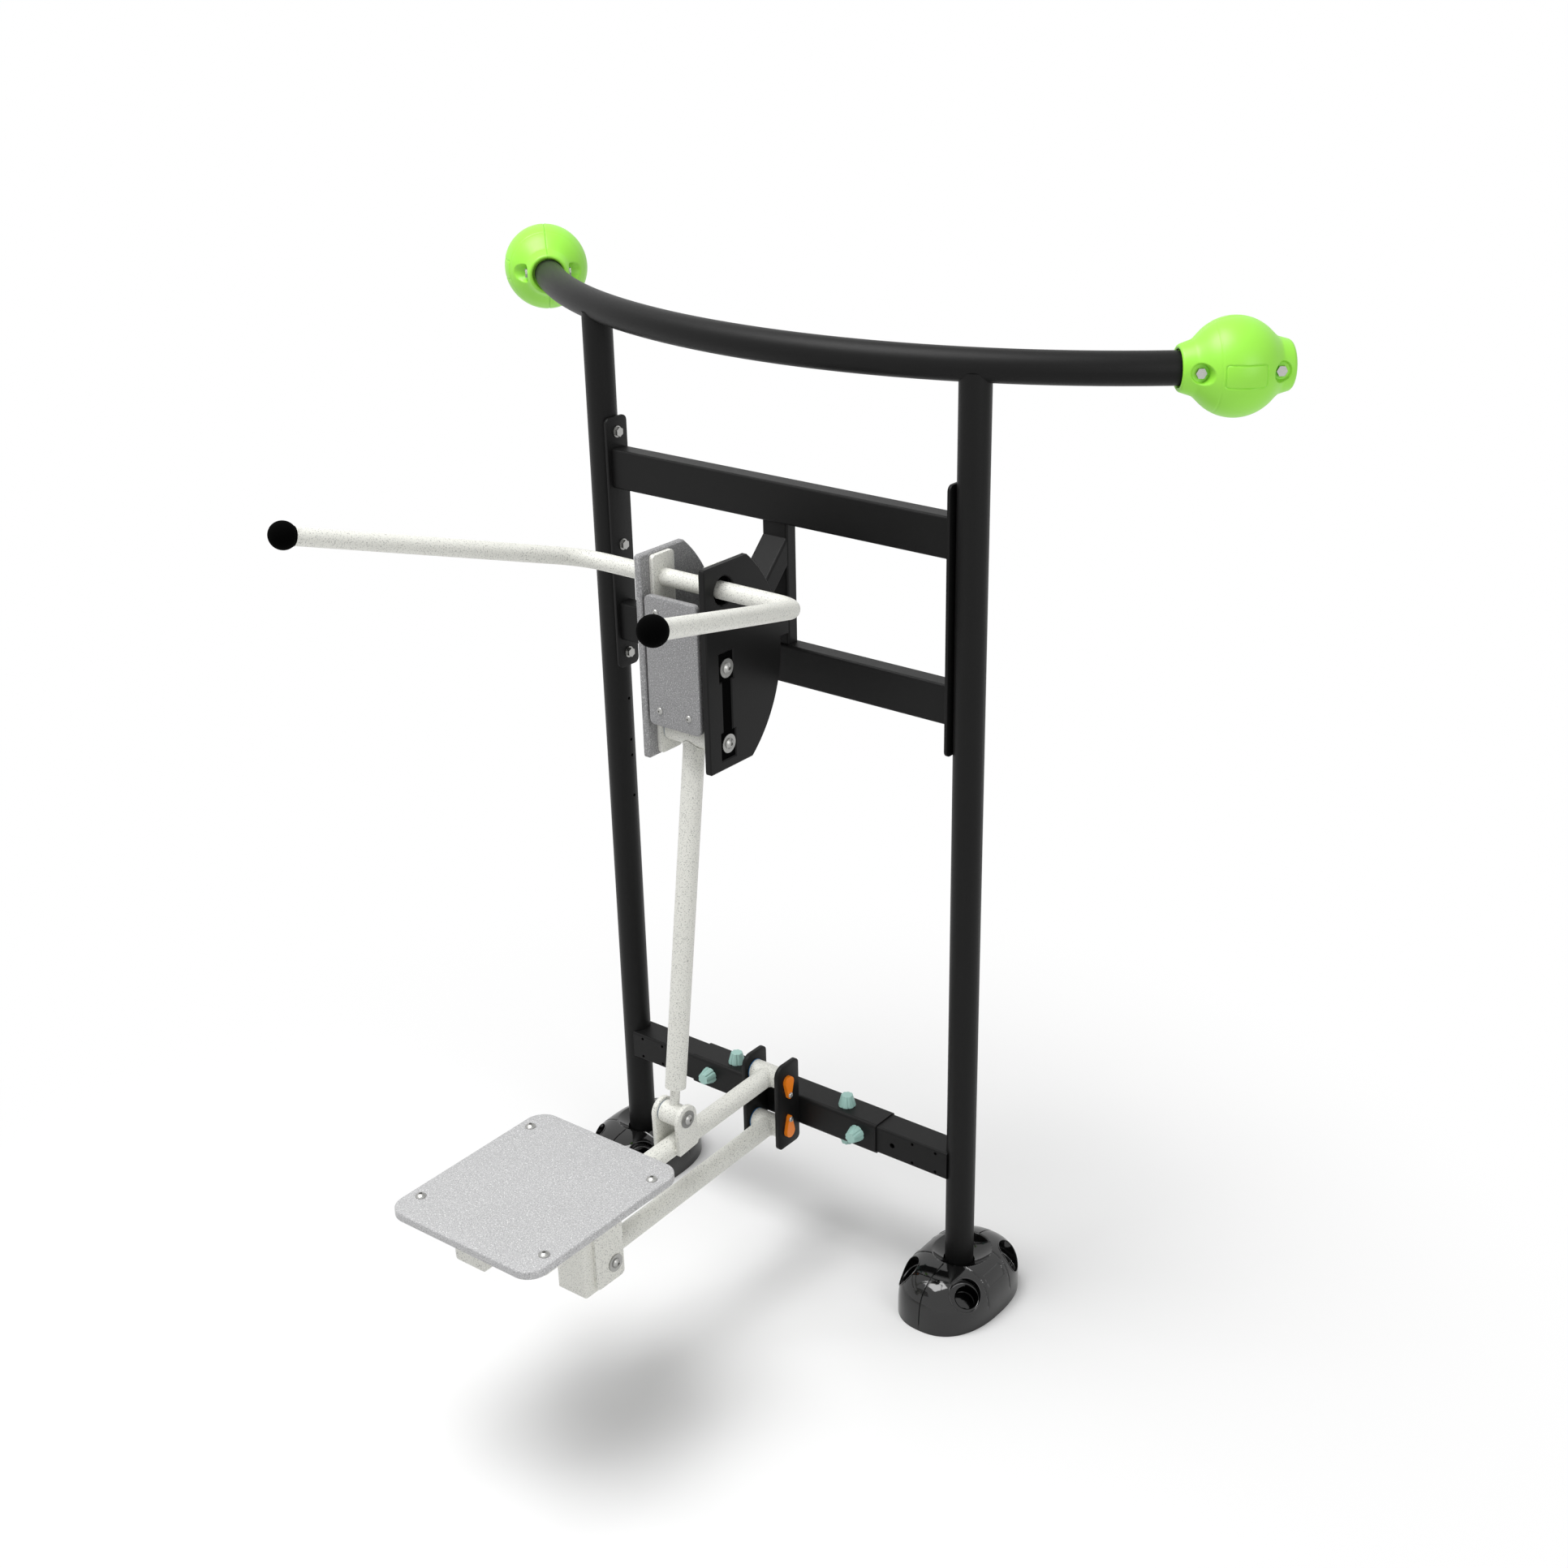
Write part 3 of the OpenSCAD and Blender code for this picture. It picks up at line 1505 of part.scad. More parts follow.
module footplate_screws() {
    color(steel_grey)
        at_panel_screws()
            button_screw(bolt_d, panel_t + foot_flat_t, big_head_d, big_head_h);
}

module footplate_beam() {
    color(cream_paint)
        difference() {
            union() {
                along_y(beam_front_y, foot_post_rear_y)
                    translate([0, beam_top_z - foot_beam_h / 2])
                        box_section(foot_box_w, foot_beam_h, box_corner_r, foot_wall);
                along_y(beam_front_y, beam_front_y + foot_wall)
                    translate([0, beam_top_z - foot_beam_h / 2])
                        round_rect(foot_box_w, foot_beam_h, box_corner_r);
                for (i = [0, 1])
                    translate([0, panel_screw_rear_y - i * panel_screw_pitch_y, beam_top_z + foot_flat_t / 2])
                        cube([panel_screw_pitch_x + foot_flat_w, foot_flat_w, foot_flat_t], center = true);
            }
            at_panel_screws()
                cylinder(h = 4 * (panel_t + foot_flat_t), r = bolt_d / 2 + seat_gap, center = true);
        }
}

module footplate_post() {
    bottom_z = lower_front[1] - foot_post_down;
    color(cream_paint)
        translate([0, foot_post_rear_y - foot_post_d / 2, bottom_z])
            linear_extrude(beam_bottom_z - bottom_z)
                box_section(foot_box_w, foot_post_d, box_corner_r, foot_wall);
}

module footplate_side_plates() {
    bottom_z = lower_front[1] - side_plate_down;
    height = upper_front[1] + side_plate_up - bottom_z;
    color(cream_paint)
        for (side = sides)
            on_side(side)
                difference() {
                    along_x(foot_half_gap, foot_half_gap + side_plate_t)
                        translate([upper_front[0] + side_plate_back - side_plate_w / 2, bottom_z + height / 2])
                            round_rect(side_plate_w, height, side_plate_corner_r);
                    for (p = [upper_front, lower_front])
                        at_yz(p)
                            rod_x(0, 2 * foot_half_gap, axle_seat_r);
                }
}

module footplate_pins() {
    half = foot_half_gap + side_plate_t;
    color(steel_grey)
        for (p = [upper_front, lower_front])
            at_yz(p) {
                axle(half);
                end_screws(half, big_screw_in);
            }
}

post_left();
post_right();
top_rail();
base_plate_left();
base_plate_right();
foot_cover_left_outer();
foot_cover_left_inner();
foot_cover_right_outer();
foot_cover_right_inner();
knob_left_front();
knob_left_back();
knob_right_front();
knob_right_back();
knob_bolts();
flange_plates();
flange_bolts();
crossbar_upper();
crossbar_lower();
centre_upright();
brace();
pivot_stub();
pivot_hub();
hub_bushes();
bottom_bar_left();
bottom_bar_right();
clamp_sleeve();
clamp_bolts();
bolt_caps();
bearing_plates();
bearing_caps();
bearing_cap_screws();
arm_axles();
lever_plates();
handlebar();
handle_balls();
cheek_left();
cheek_right();
cheek_inserts();
cheek_screws();
cover_rails();
front_cover();
cover_screws();
pivot_axle();
lever_screws();
tie_rod();
rod_top_axle();
rod_bushes();
rod_eye();
upper_arm();
upper_arm_bushes();
clevis_plates();
clevis_pin();
lower_arm();
lower_arm_bushes();
footplate_panel();
footplate_screws();
footplate_beam();
footplate_post();
footplate_side_plates();
footplate_pins();
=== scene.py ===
import json
import math

import bmesh
import bpy
from mathutils import Matrix, Vector
from mathutils.geometry import tessellate_polygon


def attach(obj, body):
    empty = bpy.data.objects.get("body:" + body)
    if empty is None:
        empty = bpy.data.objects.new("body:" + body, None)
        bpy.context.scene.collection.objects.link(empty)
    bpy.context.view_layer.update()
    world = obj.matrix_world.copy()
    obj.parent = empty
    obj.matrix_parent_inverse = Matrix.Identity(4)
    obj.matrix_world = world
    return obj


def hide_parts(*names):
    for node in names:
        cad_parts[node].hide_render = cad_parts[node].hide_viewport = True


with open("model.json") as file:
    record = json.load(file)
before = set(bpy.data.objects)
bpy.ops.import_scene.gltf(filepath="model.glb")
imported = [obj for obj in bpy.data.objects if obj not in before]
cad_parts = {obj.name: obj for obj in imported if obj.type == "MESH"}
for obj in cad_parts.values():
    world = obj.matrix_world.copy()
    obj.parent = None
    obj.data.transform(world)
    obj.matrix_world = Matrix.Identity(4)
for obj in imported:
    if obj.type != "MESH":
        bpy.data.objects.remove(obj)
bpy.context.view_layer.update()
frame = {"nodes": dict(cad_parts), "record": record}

MM = 0.001
MERGE = 0.001        # points closer than this, in millimetres, become one
SIDES = (-1, 1)
MIRROR = Matrix.Scale(-1, 4, (1, 0, 0))


# Shader groups

SPECK_FULL = 0.8     # noise value from which a speck has its whole colour
BUMP_DISTANCE = 0.0002


def shader_group(name, inputs, outputs):
    """A node group with named sockets; returns the group, its input node and its output node."""
    group = bpy.data.node_groups.new(name, "ShaderNodeTree")
    for label, kind, value in inputs:
        socket = group.interface.new_socket(label, in_out="INPUT", socket_type=kind)
        socket.default_value = value
    for label, kind in outputs:
        group.interface.new_socket(label, in_out="OUTPUT", socket_type=kind)
    return group, group.nodes.new("NodeGroupInput"), group.nodes.new("NodeGroupOutput")


def noise(group, scale, detail):
    """Noise that is held to the piece, so that it moves with it."""
    place = group.nodes.new("ShaderNodeTexCoord")
    node = group.nodes.new("ShaderNodeTexNoise")
    node.inputs["Detail"].default_value = detail
    group.links.new(place.outputs["Object"], node.inputs["Vector"])
    group.links.new(scale, node.inputs["Scale"])
    return node.outputs["Fac"]


def make_grain():
    """Fine orange-peel height of a sprayed or moulded surface."""
    group, given, out = shader_group(
        "surface_grain",
        [("Scale", "NodeSocketFloat", 900.0), ("Depth", "NodeSocketFloat", 1.0)],
        [("Height", "NodeSocketFloat")])
    level = group.nodes.new("ShaderNodeMath")
    level.operation = "MULTIPLY"
    group.links.new(noise(group, given.outputs["Scale"], 3.0), level.inputs[0])
    group.links.new(given.outputs["Depth"], level.inputs[1])
    group.links.new(level.outputs[0], out.inputs["Height"])
    return group


def make_speckle():
    """Mask of small separate specks; a higher Rarity leaves fewer of them."""
    group, given, out = shader_group(
        "speckle",
        [("Scale", "NodeSocketFloat", 700.0), ("Rarity", "NodeSocketFloat", 0.6)],
        [("Mask", "NodeSocketFloat")])
    cut = group.nodes.new("ShaderNodeMapRange")
    cut.inputs["From Max"].default_value = SPECK_FULL
    group.links.new(noise(group, given.outputs["Scale"], 1.5), cut.inputs["Value"])
    group.links.new(given.outputs["Rarity"], cut.inputs["From Min"])
    group.links.new(cut.outputs["Result"], out.inputs["Mask"])
    return group


def make_drift():
    """Slow change of a colour over the surface, as dust and weather leave it."""
    group, given, out = shader_group(
        "colour_drift",
        [("Colour", "NodeSocketColor", (0.5, 0.5, 0.5, 1.0)),
         ("Other Colour", "NodeSocketColor", (0.4, 0.4, 0.4, 1.0)),
         ("Scale", "NodeSocketFloat", 6.0)],
        [("Colour", "NodeSocketColor"), ("Mask", "NodeSocketFloat")])
    broad = noise(group, given.outputs["Scale"], 4.0)
    mix = group.nodes.new("ShaderNodeMix")
    mix.data_type = "RGBA"
    group.links.new(broad, mix.inputs["Factor"])
    group.links.new(given.outputs["Colour"], mix.inputs["A"])
    group.links.new(given.outputs["Other Colour"], mix.inputs["B"])
    group.links.new(mix.outputs["Result"], out.inputs["Colour"])
    group.links.new(broad, out.inputs["Mask"])
    return group


GRAIN, SPECKLE, DRIFT = make_grain(), make_speckle(), make_drift()


# Finishes

def linear(red, green, blue):
    """A colour written as 0 to 255, as the linear colour that the shader wants."""
    return tuple(
        v / 255 / 12.92 if v <= 10 else ((v / 255 + 0.055) / 1.055) ** 2.4
        for v in (red, green, blue)) + (1.0,)


def finish_material(name, colour, other, drift_scale, rough, rough_span, grain_scale, grain_depth,
                    metallic=0.0, shine=0.5, specks=()):
    """A surface with drifting colour and roughness, grain, and specks of (colour, scale, rarity)."""
    material = bpy.data.materials.new(name)
    material.use_nodes = True
    tree = material.node_tree
    surface = tree.nodes["Principled BSDF"]
    surface.inputs["Metallic"].default_value = metallic
    surface.inputs["Specular IOR Level"].default_value = shine

    drift = tree.nodes.new("ShaderNodeGroup")
    drift.node_tree = DRIFT
    drift.inputs["Colour"].default_value = colour
    drift.inputs["Other Colour"].default_value = other
    drift.inputs["Scale"].default_value = drift_scale
    painted = drift.outputs["Colour"]
    for speck_colour, speck_scale, rarity in specks:
        speckle = tree.nodes.new("ShaderNodeGroup")
        speckle.node_tree = SPECKLE
        speckle.inputs["Scale"].default_value = speck_scale
        speckle.inputs["Rarity"].default_value = rarity
        mix = tree.nodes.new("ShaderNodeMix")
        mix.data_type = "RGBA"
        tree.links.new(speckle.outputs["Mask"], mix.inputs["Factor"])
        tree.links.new(painted, mix.inputs["A"])
        mix.inputs["B"].default_value = speck_colour
        painted = mix.outputs["Result"]
    tree.links.new(painted, surface.inputs["Base Color"])

    span = tree.nodes.new("ShaderNodeMapRange")
    span.inputs["To Min"].default_value = rough - rough_span
    span.inputs["To Max"].default_value = rough + rough_span
    tree.links.new(drift.outputs["Mask"], span.inputs["Value"])
    tree.links.new(span.outputs["Result"], surface.inputs["Roughness"])

    grain = tree.nodes.new("ShaderNodeGroup")
    grain.node_tree = GRAIN
    grain.inputs["Scale"].default_value = grain_scale
    grain.inputs["Depth"].default_value = grain_depth
    relief = tree.nodes.new("ShaderNodeBump")
    relief.inputs["Distance"].default_value = BUMP_DISTANCE
    tree.links.new(grain.outputs["Height"], relief.inputs["Height"])
    tree.links.new(relief.outputs["Normal"], surface.inputs["Normal"])
    return material


# The record's material slots, a darker and glossier kind of the black plastic for the foot covers, and
# a copy of the grey panel darkened with painted shade for the lever housing's upright faces
FINISHES = {
    "black_paint": finish_material(
        "black_powder_coat", linear(17, 17, 17), linear(21, 21, 21), drift_scale=7,
        rough=0.42, rough_span=0.05, grain_scale=1400, grain_depth=1.0,
        shine=0.15, specks=[(linear(40, 40, 40), 900, 0.66)]),
    "cream_paint": finish_material(
        "cream_powder_coat", linear(229, 229, 222), linear(221, 221, 214), drift_scale=5,
        rough=0.42, rough_span=0.05, grain_scale=1300, grain_depth=1.0,
        specks=[(linear(128, 128, 125), 430, 0.53)]),
    "black_gloss_plastic": finish_material(
        "black_gloss_plastic", linear(24, 24, 24), linear(27, 27, 27), drift_scale=9,
        rough=0.3, rough_span=0.04, grain_scale=260, grain_depth=0.4, shine=0.12),
    "cover_gloss_plastic": finish_material(
        "black_polished_plastic", linear(11, 11, 11), linear(14, 14, 14), drift_scale=9,
        rough=0.07, rough_span=0.03, grain_scale=260, grain_depth=0.25, shine=0.6),
    # Near-black and almost shineless: the bar-end balls' own black, and painted shade on the well
    # sleeve and the bar-hole rings
    "black_matte_plastic": finish_material(
        "black_matte_plastic", linear(1, 1, 1), linear(2, 2, 2), drift_scale=12,
        rough=0.9, rough_span=0.03, grain_scale=1200, grain_depth=1.0, shine=0.03),
    "grey_panel": finish_material(
        "grey_speckled_sheet", linear(184, 184, 185), linear(176, 176, 177), drift_scale=6,
        rough=0.5, rough_span=0.04, grain_scale=900, grain_depth=1.0,
        specks=[(linear(240, 240, 240), 420, 0.52), (linear(108, 108, 110), 460, 0.54)]),
    # The grey panel with painted shade: base and specks are darkened to stand for the dimmer light on
    # the housing's upright faces, not for a darker sheet
    "grey_panel_painted_shade": finish_material(
        "grey_speckled_sheet_painted_shade", linear(138, 138, 139), linear(131, 131, 132), drift_scale=6,
        rough=0.5, rough_span=0.04, grain_scale=900, grain_depth=1.0,
        specks=[(linear(198, 198, 199), 420, 0.52), (linear(76, 76, 78), 460, 0.54)]),
    "lime_plastic": finish_material(
        "lime_moulded_plastic", linear(151, 228, 68), linear(146, 222, 63), drift_scale=5,
        rough=0.4, rough_span=0.05, grain_scale=700, grain_depth=0.6),
    "stainless": finish_material(
        "satin_stainless", linear(176, 176, 173), linear(160, 160, 158), drift_scale=40,
        rough=0.3, rough_span=0.08, grain_scale=2000, grain_depth=0.6, metallic=1.0),
    "blue_bush": finish_material(
        "blue_bearing_plastic", linear(36, 98, 148), linear(40, 106, 156), drift_scale=20,
        rough=0.4, rough_span=0.05, grain_scale=1200, grain_depth=0.6),
    "mint_plastic": finish_material(
        "mint_moulded_plastic", linear(160, 198, 190), linear(152, 190, 182), drift_scale=20,
        rough=0.42, rough_span=0.05, grain_scale=900, grain_depth=0.8),
    "orange_plastic": finish_material(
        "orange_moulded_plastic", linear(250, 136, 18), linear(243, 129, 15), drift_scale=20,
        rough=0.4, rough_span=0.05, grain_scale=900, grain_depth=0.8),
}
SLOT_OF_NODE = {row["node"]: row["material_slot"] for row in frame["record"]["subparts"]}


def dress(piece, finish):
    piece.data.materials.clear()
    piece.data.materials.append(FINISHES[finish])
    for face in piece.data.polygons:
        face.material_index = 0


for node, piece in frame["nodes"].items():
    dress(piece, SLOT_OF_NODE[node])


# Mesh helpers, all in millimetres

def outward_mesh(name, points, faces, merge):
    """A mesh whose doubled points are merged and whose faces look outwards."""
    mesh = bpy.data.meshes.new(name)
    mesh.from_pydata(points, [], faces)
    work = bmesh.new()
    work.from_mesh(mesh)
    bmesh.ops.remove_doubles(work, verts=work.verts, dist=merge)
    bmesh.ops.recalc_face_normals(work, faces=work.faces)
    work.to_mesh(mesh)
    work.free()
    return mesh


def add_piece(name, body, slot, points, faces, hides=(), crease=38, finish=None):
    """Makes a piece from points in millimetres, dresses it and lets it ride on its body."""
    mesh = outward_mesh(name, [Vector(p) * MM for p in points], faces, MERGE * MM)
    mesh.shade_smooth()
    mesh.set_sharp_from_angle(angle=math.radians(crease))
    piece = bpy.data.objects.new(name, mesh)
    bpy.context.scene.collection.objects.link(piece)
    dress(piece, finish or slot)
    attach(piece, body)
    if hides:
        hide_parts(*hides)
    return piece


def joined(*parts):
    """Several (points, faces) as one."""
    points, faces = [], []
    for some_points, some_faces in parts:
        start = len(points)
        points += list(some_points)
        faces += [tuple(i + start for i in face) for face in some_faces]
    return points, faces


def moved(part, matrix):
    points, faces = part
    return [matrix @ Vector(p) for p in points], faces


def facing(spot, direction):
    """Matrix that puts a part drawn along +Z at a point, looking in a direction."""
    turn = Vector(direction).to_track_quat("Z", "Y").to_matrix().to_4x4()
    return Matrix.Translation(spot) @ turn


def to_side(side):
    """Matrix that leaves a part on the right, or mirrors it to the left."""
    return MIRROR if side < 0 else Matrix.Identity(4)


def skin(rings, closed=True):
    """Faces through rings of equal length, with flat ends where it is closed."""
    count = len(rings[0])
    points = [p for ring in rings for p in ring]
    faces = []
    for k in range(len(rings) - 1):
        for i in range(count):
            j = (i + 1) % count
            faces.append((k * count + i, k * count + j, (k + 1) * count + j, (k + 1) * count + i))
    if closed:
        faces.append(tuple(range(count))[::-1])
        faces.append(tuple(range((len(rings) - 1) * count, len(rings) * count)))
    return points, faces


def turned(profile, steps=64):
    """Profile of (radius, height) turned round Z; a radius of 0 closes an end."""
    turns = [2 * math.pi * i / steps for i in range(steps)]
    return skin([[(max(r, MERGE) * math.cos(t), max(r, MERGE) * math.sin(t), z) for t in turns]
                 for r, z in profile])


def rounded_profile(corners):
    """Profile through (radius, height, corner rounding), each corner turned into a small arc."""
    steps = 4
    out = []
    for k, (r, z, rounding) in enumerate(corners):
        if rounding <= 0 or k in (0, len(corners) - 1):
            out.append((r, z))
            continue
        here = Vector((r, z))
        before = Vector(corners[k - 1][:2]) - here
        after = Vector(corners[k + 1][:2]) - here
        a = here + before.normalized() * min(rounding, before.length / 2)
        b = here + after.normalized() * min(rounding, after.length / 2)
        for i in range(steps + 1):
            t = i / steps
            out.append(tuple((a.lerp(here, t)).lerp(here.lerp(b, t), t)))
    return out


def arc(cx, cy, radius, start, end, steps):
    """Points of an arc from one angle to another, in degrees."""
    turns = [math.radians(start + (end - start) * i / steps) for i in range(steps + 1)]
    return [(cx + radius * math.cos(t), cy + radius * math.sin(t)) for t in turns]


def circle(radius, count=36, x=0, y=0):
    return arc(x, y, radius, 0, 360 - 360 / count, count - 1)


def round_rect(width, height, radius, steps=8, x=0, y=0):
    out = []
    across, up = width / 2 - radius, height / 2 - radius
    for sx, sy, start in ((1, 1, 0), (-1, 1, 90), (-1, -1, 180), (1, -1, 270)):
        out += arc(x + sx * across, y + sy * up, radius, start, start + 90, steps)
    return out


def grown(loop, amount):
    """A counterclockwise outline moved outwards by amount, or inwards if it is negative."""
    sharpest = 0.15      # keeps the point of a very sharp corner from running away
    out = []
    count = len(loop)
    for i in range(count):
        p, q, r = (Vector(loop[(i + k) % count]) for k in (-1, 0, 1))
        a, b = q - p, r - q
        middle = Vector((a.y, -a.x)).normalized() + Vector((b.y, -b.x)).normalized()
        middle = middle / max(middle.length_squared / 2, sharpest)
        out.append(tuple(q + middle * amount))
    return out


def without_doubles(loop):
    return [p for i, p in enumerate(loop) if (Vector(p) - Vector(loop[i - 1])).length > 0.01]


def plate(outer, holes, depth, edge, steps=3):
    """Sheet with rounded edges: outlines in x and y, thickness along z from 0 to depth."""
    outer = without_doubles(outer)
    holes = [without_doubles(hole) for hole in holes]
    points, faces = [], []
    turns = [t * math.pi / 2 / steps for t in range(steps + 1)]
    levels = [(edge * (1 - math.sin(t)), edge * (1 - math.cos(t))) for t in turns]
    stack = levels + [(inset, depth - z) for inset, z in reversed(levels)]
    for loop, way in [(outer, -1)] + [(hole, 1) for hole in holes]:
        rings = [[(x, y, z) for x, y in grown(loop, way * inset)] for inset, z in stack]
        points, faces = joined((points, faces), skin(rings, closed=False))
    loops = [grown(outer, -edge)] + [grown(hole, edge) for hole in holes]
    triangles = [tuple(t) for t in tessellate_polygon(
        [[Vector((x, y, 0)) for x, y in loop] for loop in loops])]
    for z in (0, depth):
        flat = [(x, y, z) for loop in loops for x, y in loop]
        points, faces = joined((points, faces), (flat, triangles))
    return points, faces


def flat_ring(outer, inner, depth, edge, count=36):
    return plate(circle(outer, count), [circle(inner, count)], depth, edge)


def tube_along(path, radius, steps):
    """Round bar through the points of a path, of one radius or a list of them."""
    path = [Vector(p) for p in path]
    last = len(path) - 1
    tangents = [(path[min(i + 1, last)] - path[max(i - 1, 0)]).normalized() for i in range(len(path))]
    side = tangents[0].orthogonal().normalized()
    radii = radius if isinstance(radius, list) else [radius] * len(path)
    turns = [2 * math.pi * i / steps for i in range(steps)]
    rings = []
    for p, tangent, r in zip(path, tangents, radii):
        side = (side - tangent * side.dot(tangent)).normalized()
        up = tangent.cross(side)
        rings.append([tuple(p + (side * math.cos(t) + up * math.sin(t)) * r) for t in turns])
    return skin(rings)


def ramp(value, low, high):
    """0 up to low, 1 from high, and a soft slope between them."""
    t = min(max((value - low) / (high - low), 0), 1)
    return t * t * (3 - 2 * t)


def groove(distance, depth, flat, side):
    """How deep a groove is: all of its depth as far out as flat, and nothing from side on."""
    return depth * (1 - ramp(distance, flat, side))


def box_distance(x, y, half_width, half_height, corner):
    """Distance outside a rounded rectangle, negative inside."""
    dx, dy = abs(x) - half_width + corner, abs(y) - half_height + corner
    return math.hypot(max(dx, 0), max(dy, 0)) + min(max(dx, dy), 0) - corner


# End knobs, drawn along X with the rail coming in from -X

POST_X = 443
RAIL_BEND_R = 1144.7
RAIL_HEIGHT = 1984
RAIL_CENTRE_Y = math.sqrt(RAIL_BEND_R ** 2 - POST_X ** 2)
KNOB_SEAT = math.radians(43.25)      # how far round the bend the knob's seat is
KNOB_PAST_SEAT = 40                  # from there straight on to the knob's middle
KNOB_PLACE = (
    Matrix.Translation((
        RAIL_BEND_R * math.sin(KNOB_SEAT) + KNOB_PAST_SEAT * math.cos(KNOB_SEAT),
        RAIL_CENTRE_Y - RAIL_BEND_R * math.cos(KNOB_SEAT) + KNOB_PAST_SEAT * math.sin(KNOB_SEAT),
        RAIL_HEIGHT))
    @ Matrix.Rotation(KNOB_SEAT, 4, "Z"))

KNOB_BALL_R, KNOB_NECK_R = 87, 54
KNOB_NECK_FROM = 60                  # distance from the middle at which a neck starts to narrow
KNOB_RAIL_NECK = (41, 14)            # length of the narrowing, and how much it takes off
KNOB_END_NECK = (36.5, 10)
KNOB_HOLLOW = 9                      # softness of the hollow between ball and neck
KNOB_RING_GROOVE_X = -41
KNOB_BOLTS_X = (-71, 71)
RECESS_FLOOR, RECESS_R, RECESS_RIM_R = 41, 14.6, 19.5
KNOB_BLANK_PANEL = (36.5, 20, 6)     # half width, half height, corner
HALF_SEAM_GAP = 0.12
KNOB_BODY, KNOB_BODY_STEPS = (-98, 95), 173
KNOB_MOUTH = [
    (-92, 30.6), (-93, 33), (-99.5, 33), (-100.6, 34), (-101, 36), (-100.8, 38.2), (-99.6, 39.8)]
KNOB_END = [
    (96, 43.6), (97.5, 42.6), (99.1, 40.9), (100.5, 38), (102.1, 33), (103.7, 26), (105.1, 18),
    (106.1, 10), (106.5, 0.5)]
DEGREES_IN_RADIAN = 57.3


def knob_radius(x):
    """Radius of a knob at a place along its axis: ball and necks with soft hollows between them."""
    ball = math.sqrt(max(KNOB_BALL_R ** 2 - x * x, 0))
    length, narrowing = KNOB_RAIL_NECK if x < 0 else KNOB_END_NECK
    neck = KNOB_NECK_R - narrowing * max(abs(x) - KNOB_NECK_FROM, 0) / length
    near = max(KNOB_HOLLOW - abs(ball - neck), 0) / KNOB_HOLLOW
    return max(ball, neck) + near * near * KNOB_HOLLOW / 4


def knob_shell(half):
    """Closed half shell; half is -1 in front and 1 behind."""
    start, end = KNOB_BODY
    along = [start + (end - start) / KNOB_BODY_STEPS * i for i in range(KNOB_BODY_STEPS + 1)]
    profile = KNOB_MOUTH + [(x, knob_radius(x)) for x in along] + KNOB_END
    # Degrees from the seam: close together by the seam and across the blank panel
    from_seam = ([0.15, 0.4, 0.8, 1.3, 2, 3.4] + [5 + 2.5 * i for i in range(21)]
                 + [57 + 0.825 * i for i in range(40)])
    turns = [90 - q for q in from_seam] + [0] + [q - 90 for q in reversed(from_seam)]
    rings = []
    for x, radius in profile:
        worked = x > start
        ring = []
        for turn in turns:
            deep = 0.0
            if worked:
                from_edge = abs(90 - abs(turn)) * radius / DEGREES_IN_RADIAN
                deep += groove(from_edge, depth=1.1, flat=0.3, side=1.5)
                deep += groove(abs(x - KNOB_RING_GROOVE_X), depth=0.7, flat=0.5, side=1.8)
            t = math.radians(turn)
            y, z = (radius - deep) * math.cos(t), (radius - deep) * math.sin(t)
            for bolt in KNOB_BOLTS_X:
                out = math.hypot(x - bolt, z)
                if worked and out < RECESS_RIM_R and y > RECESS_FLOOR:
                    y = RECESS_FLOOR + (y - RECESS_FLOOR) * ramp(out, RECESS_R, RECESS_RIM_R)
            if half < 0:
                edge = box_distance(x, z, *KNOB_BLANK_PANEL)
                shrink = (groove(abs(edge + 0.4), depth=1.5, flat=0.3, side=1.7)
                          + groove(edge, depth=0.35, flat=-1.5, side=0.5)) / radius
                y, z = y * (1 - shrink), z * (1 - shrink)
            ring.append((x, half * max(y, HALF_SEAM_GAP), z))
        rings.append(ring)
    return skin(rings)


for side, word in ((-1, "left"), (1, "right")):
    for half, part in ((-1, "front"), (1, "back")):
        add_piece(f"knob_shell_{word}_{part}", "frame", "lime_plastic",
                  *moved(knob_shell(half), to_side(side) @ KNOB_PLACE),
                  hides=[f"knob_{word}_{part}"])


# Foot covers, drawn for the right post with its axis at the origin

COVER_HALF_W, COVER_HALF_D, COVER_H = 106, 150, 117
PLAN, RISE = 2.38, 3.45              # how square the cover is from above, and from the side
BOWL_R, BOWL_REACH = 100, 80
BOWL_Y, BOWL_Z = 12, 190
LOBE_CREASE_Y = 41
FOOT_LINE_Z = 7.5
COVER_PANEL_Z, COVER_BLANK_PANEL = 90, (30, 11, 5)
COVER_SIDE_FROM = 60                 # the blank panel is further out than this
COVER_RINGS, COVER_QUARTER = 96, 124
BY_SEAM = (0.15, 0.5, 0.9, 1.3, 1.8, 2.6)       # extra lines of points beside the seam
POST_OPENING_R = 33.2

WELL_X, WELL_Y, WELL_Z = 71.3, 84.3, 80
WELL_LIFT = 2                        # moves the well out along its axis
WELL_TILT = math.radians(38)
WELL_FLOOR, WELL_TOP = -20, 60       # along the well's axis
WELL_FLOOR_R, WELL_TOP_R = 33, 40.5
WELL_FLOOR_ROUNDING = 3
HOLE_OFFSET = 6.5                    # the slanted hole sits beside the well's middle
HOLE_BOTTOM, HOLE_BOTTOM_R, HOLE_TOP_R = -64, 24.5, 25.5
# A near-black matte sleeve down each slanted hole: painted shade that darkens the wells
SLEEVE_BOTTOM, SLEEVE_LENGTH, SLEEVE_OUT_R, SLEEVE_IN_R = -57, 36, 24.4, 23.4
ANCHOR_X, ANCHOR_Y = 66, 78
BORE_R, BORE_TOP = 23, 42            # the upright bore over each anchor
RIM_BEAD_R = 1.2


def power(value, exponent):
    return math.copysign(abs(value) ** exponent, value)


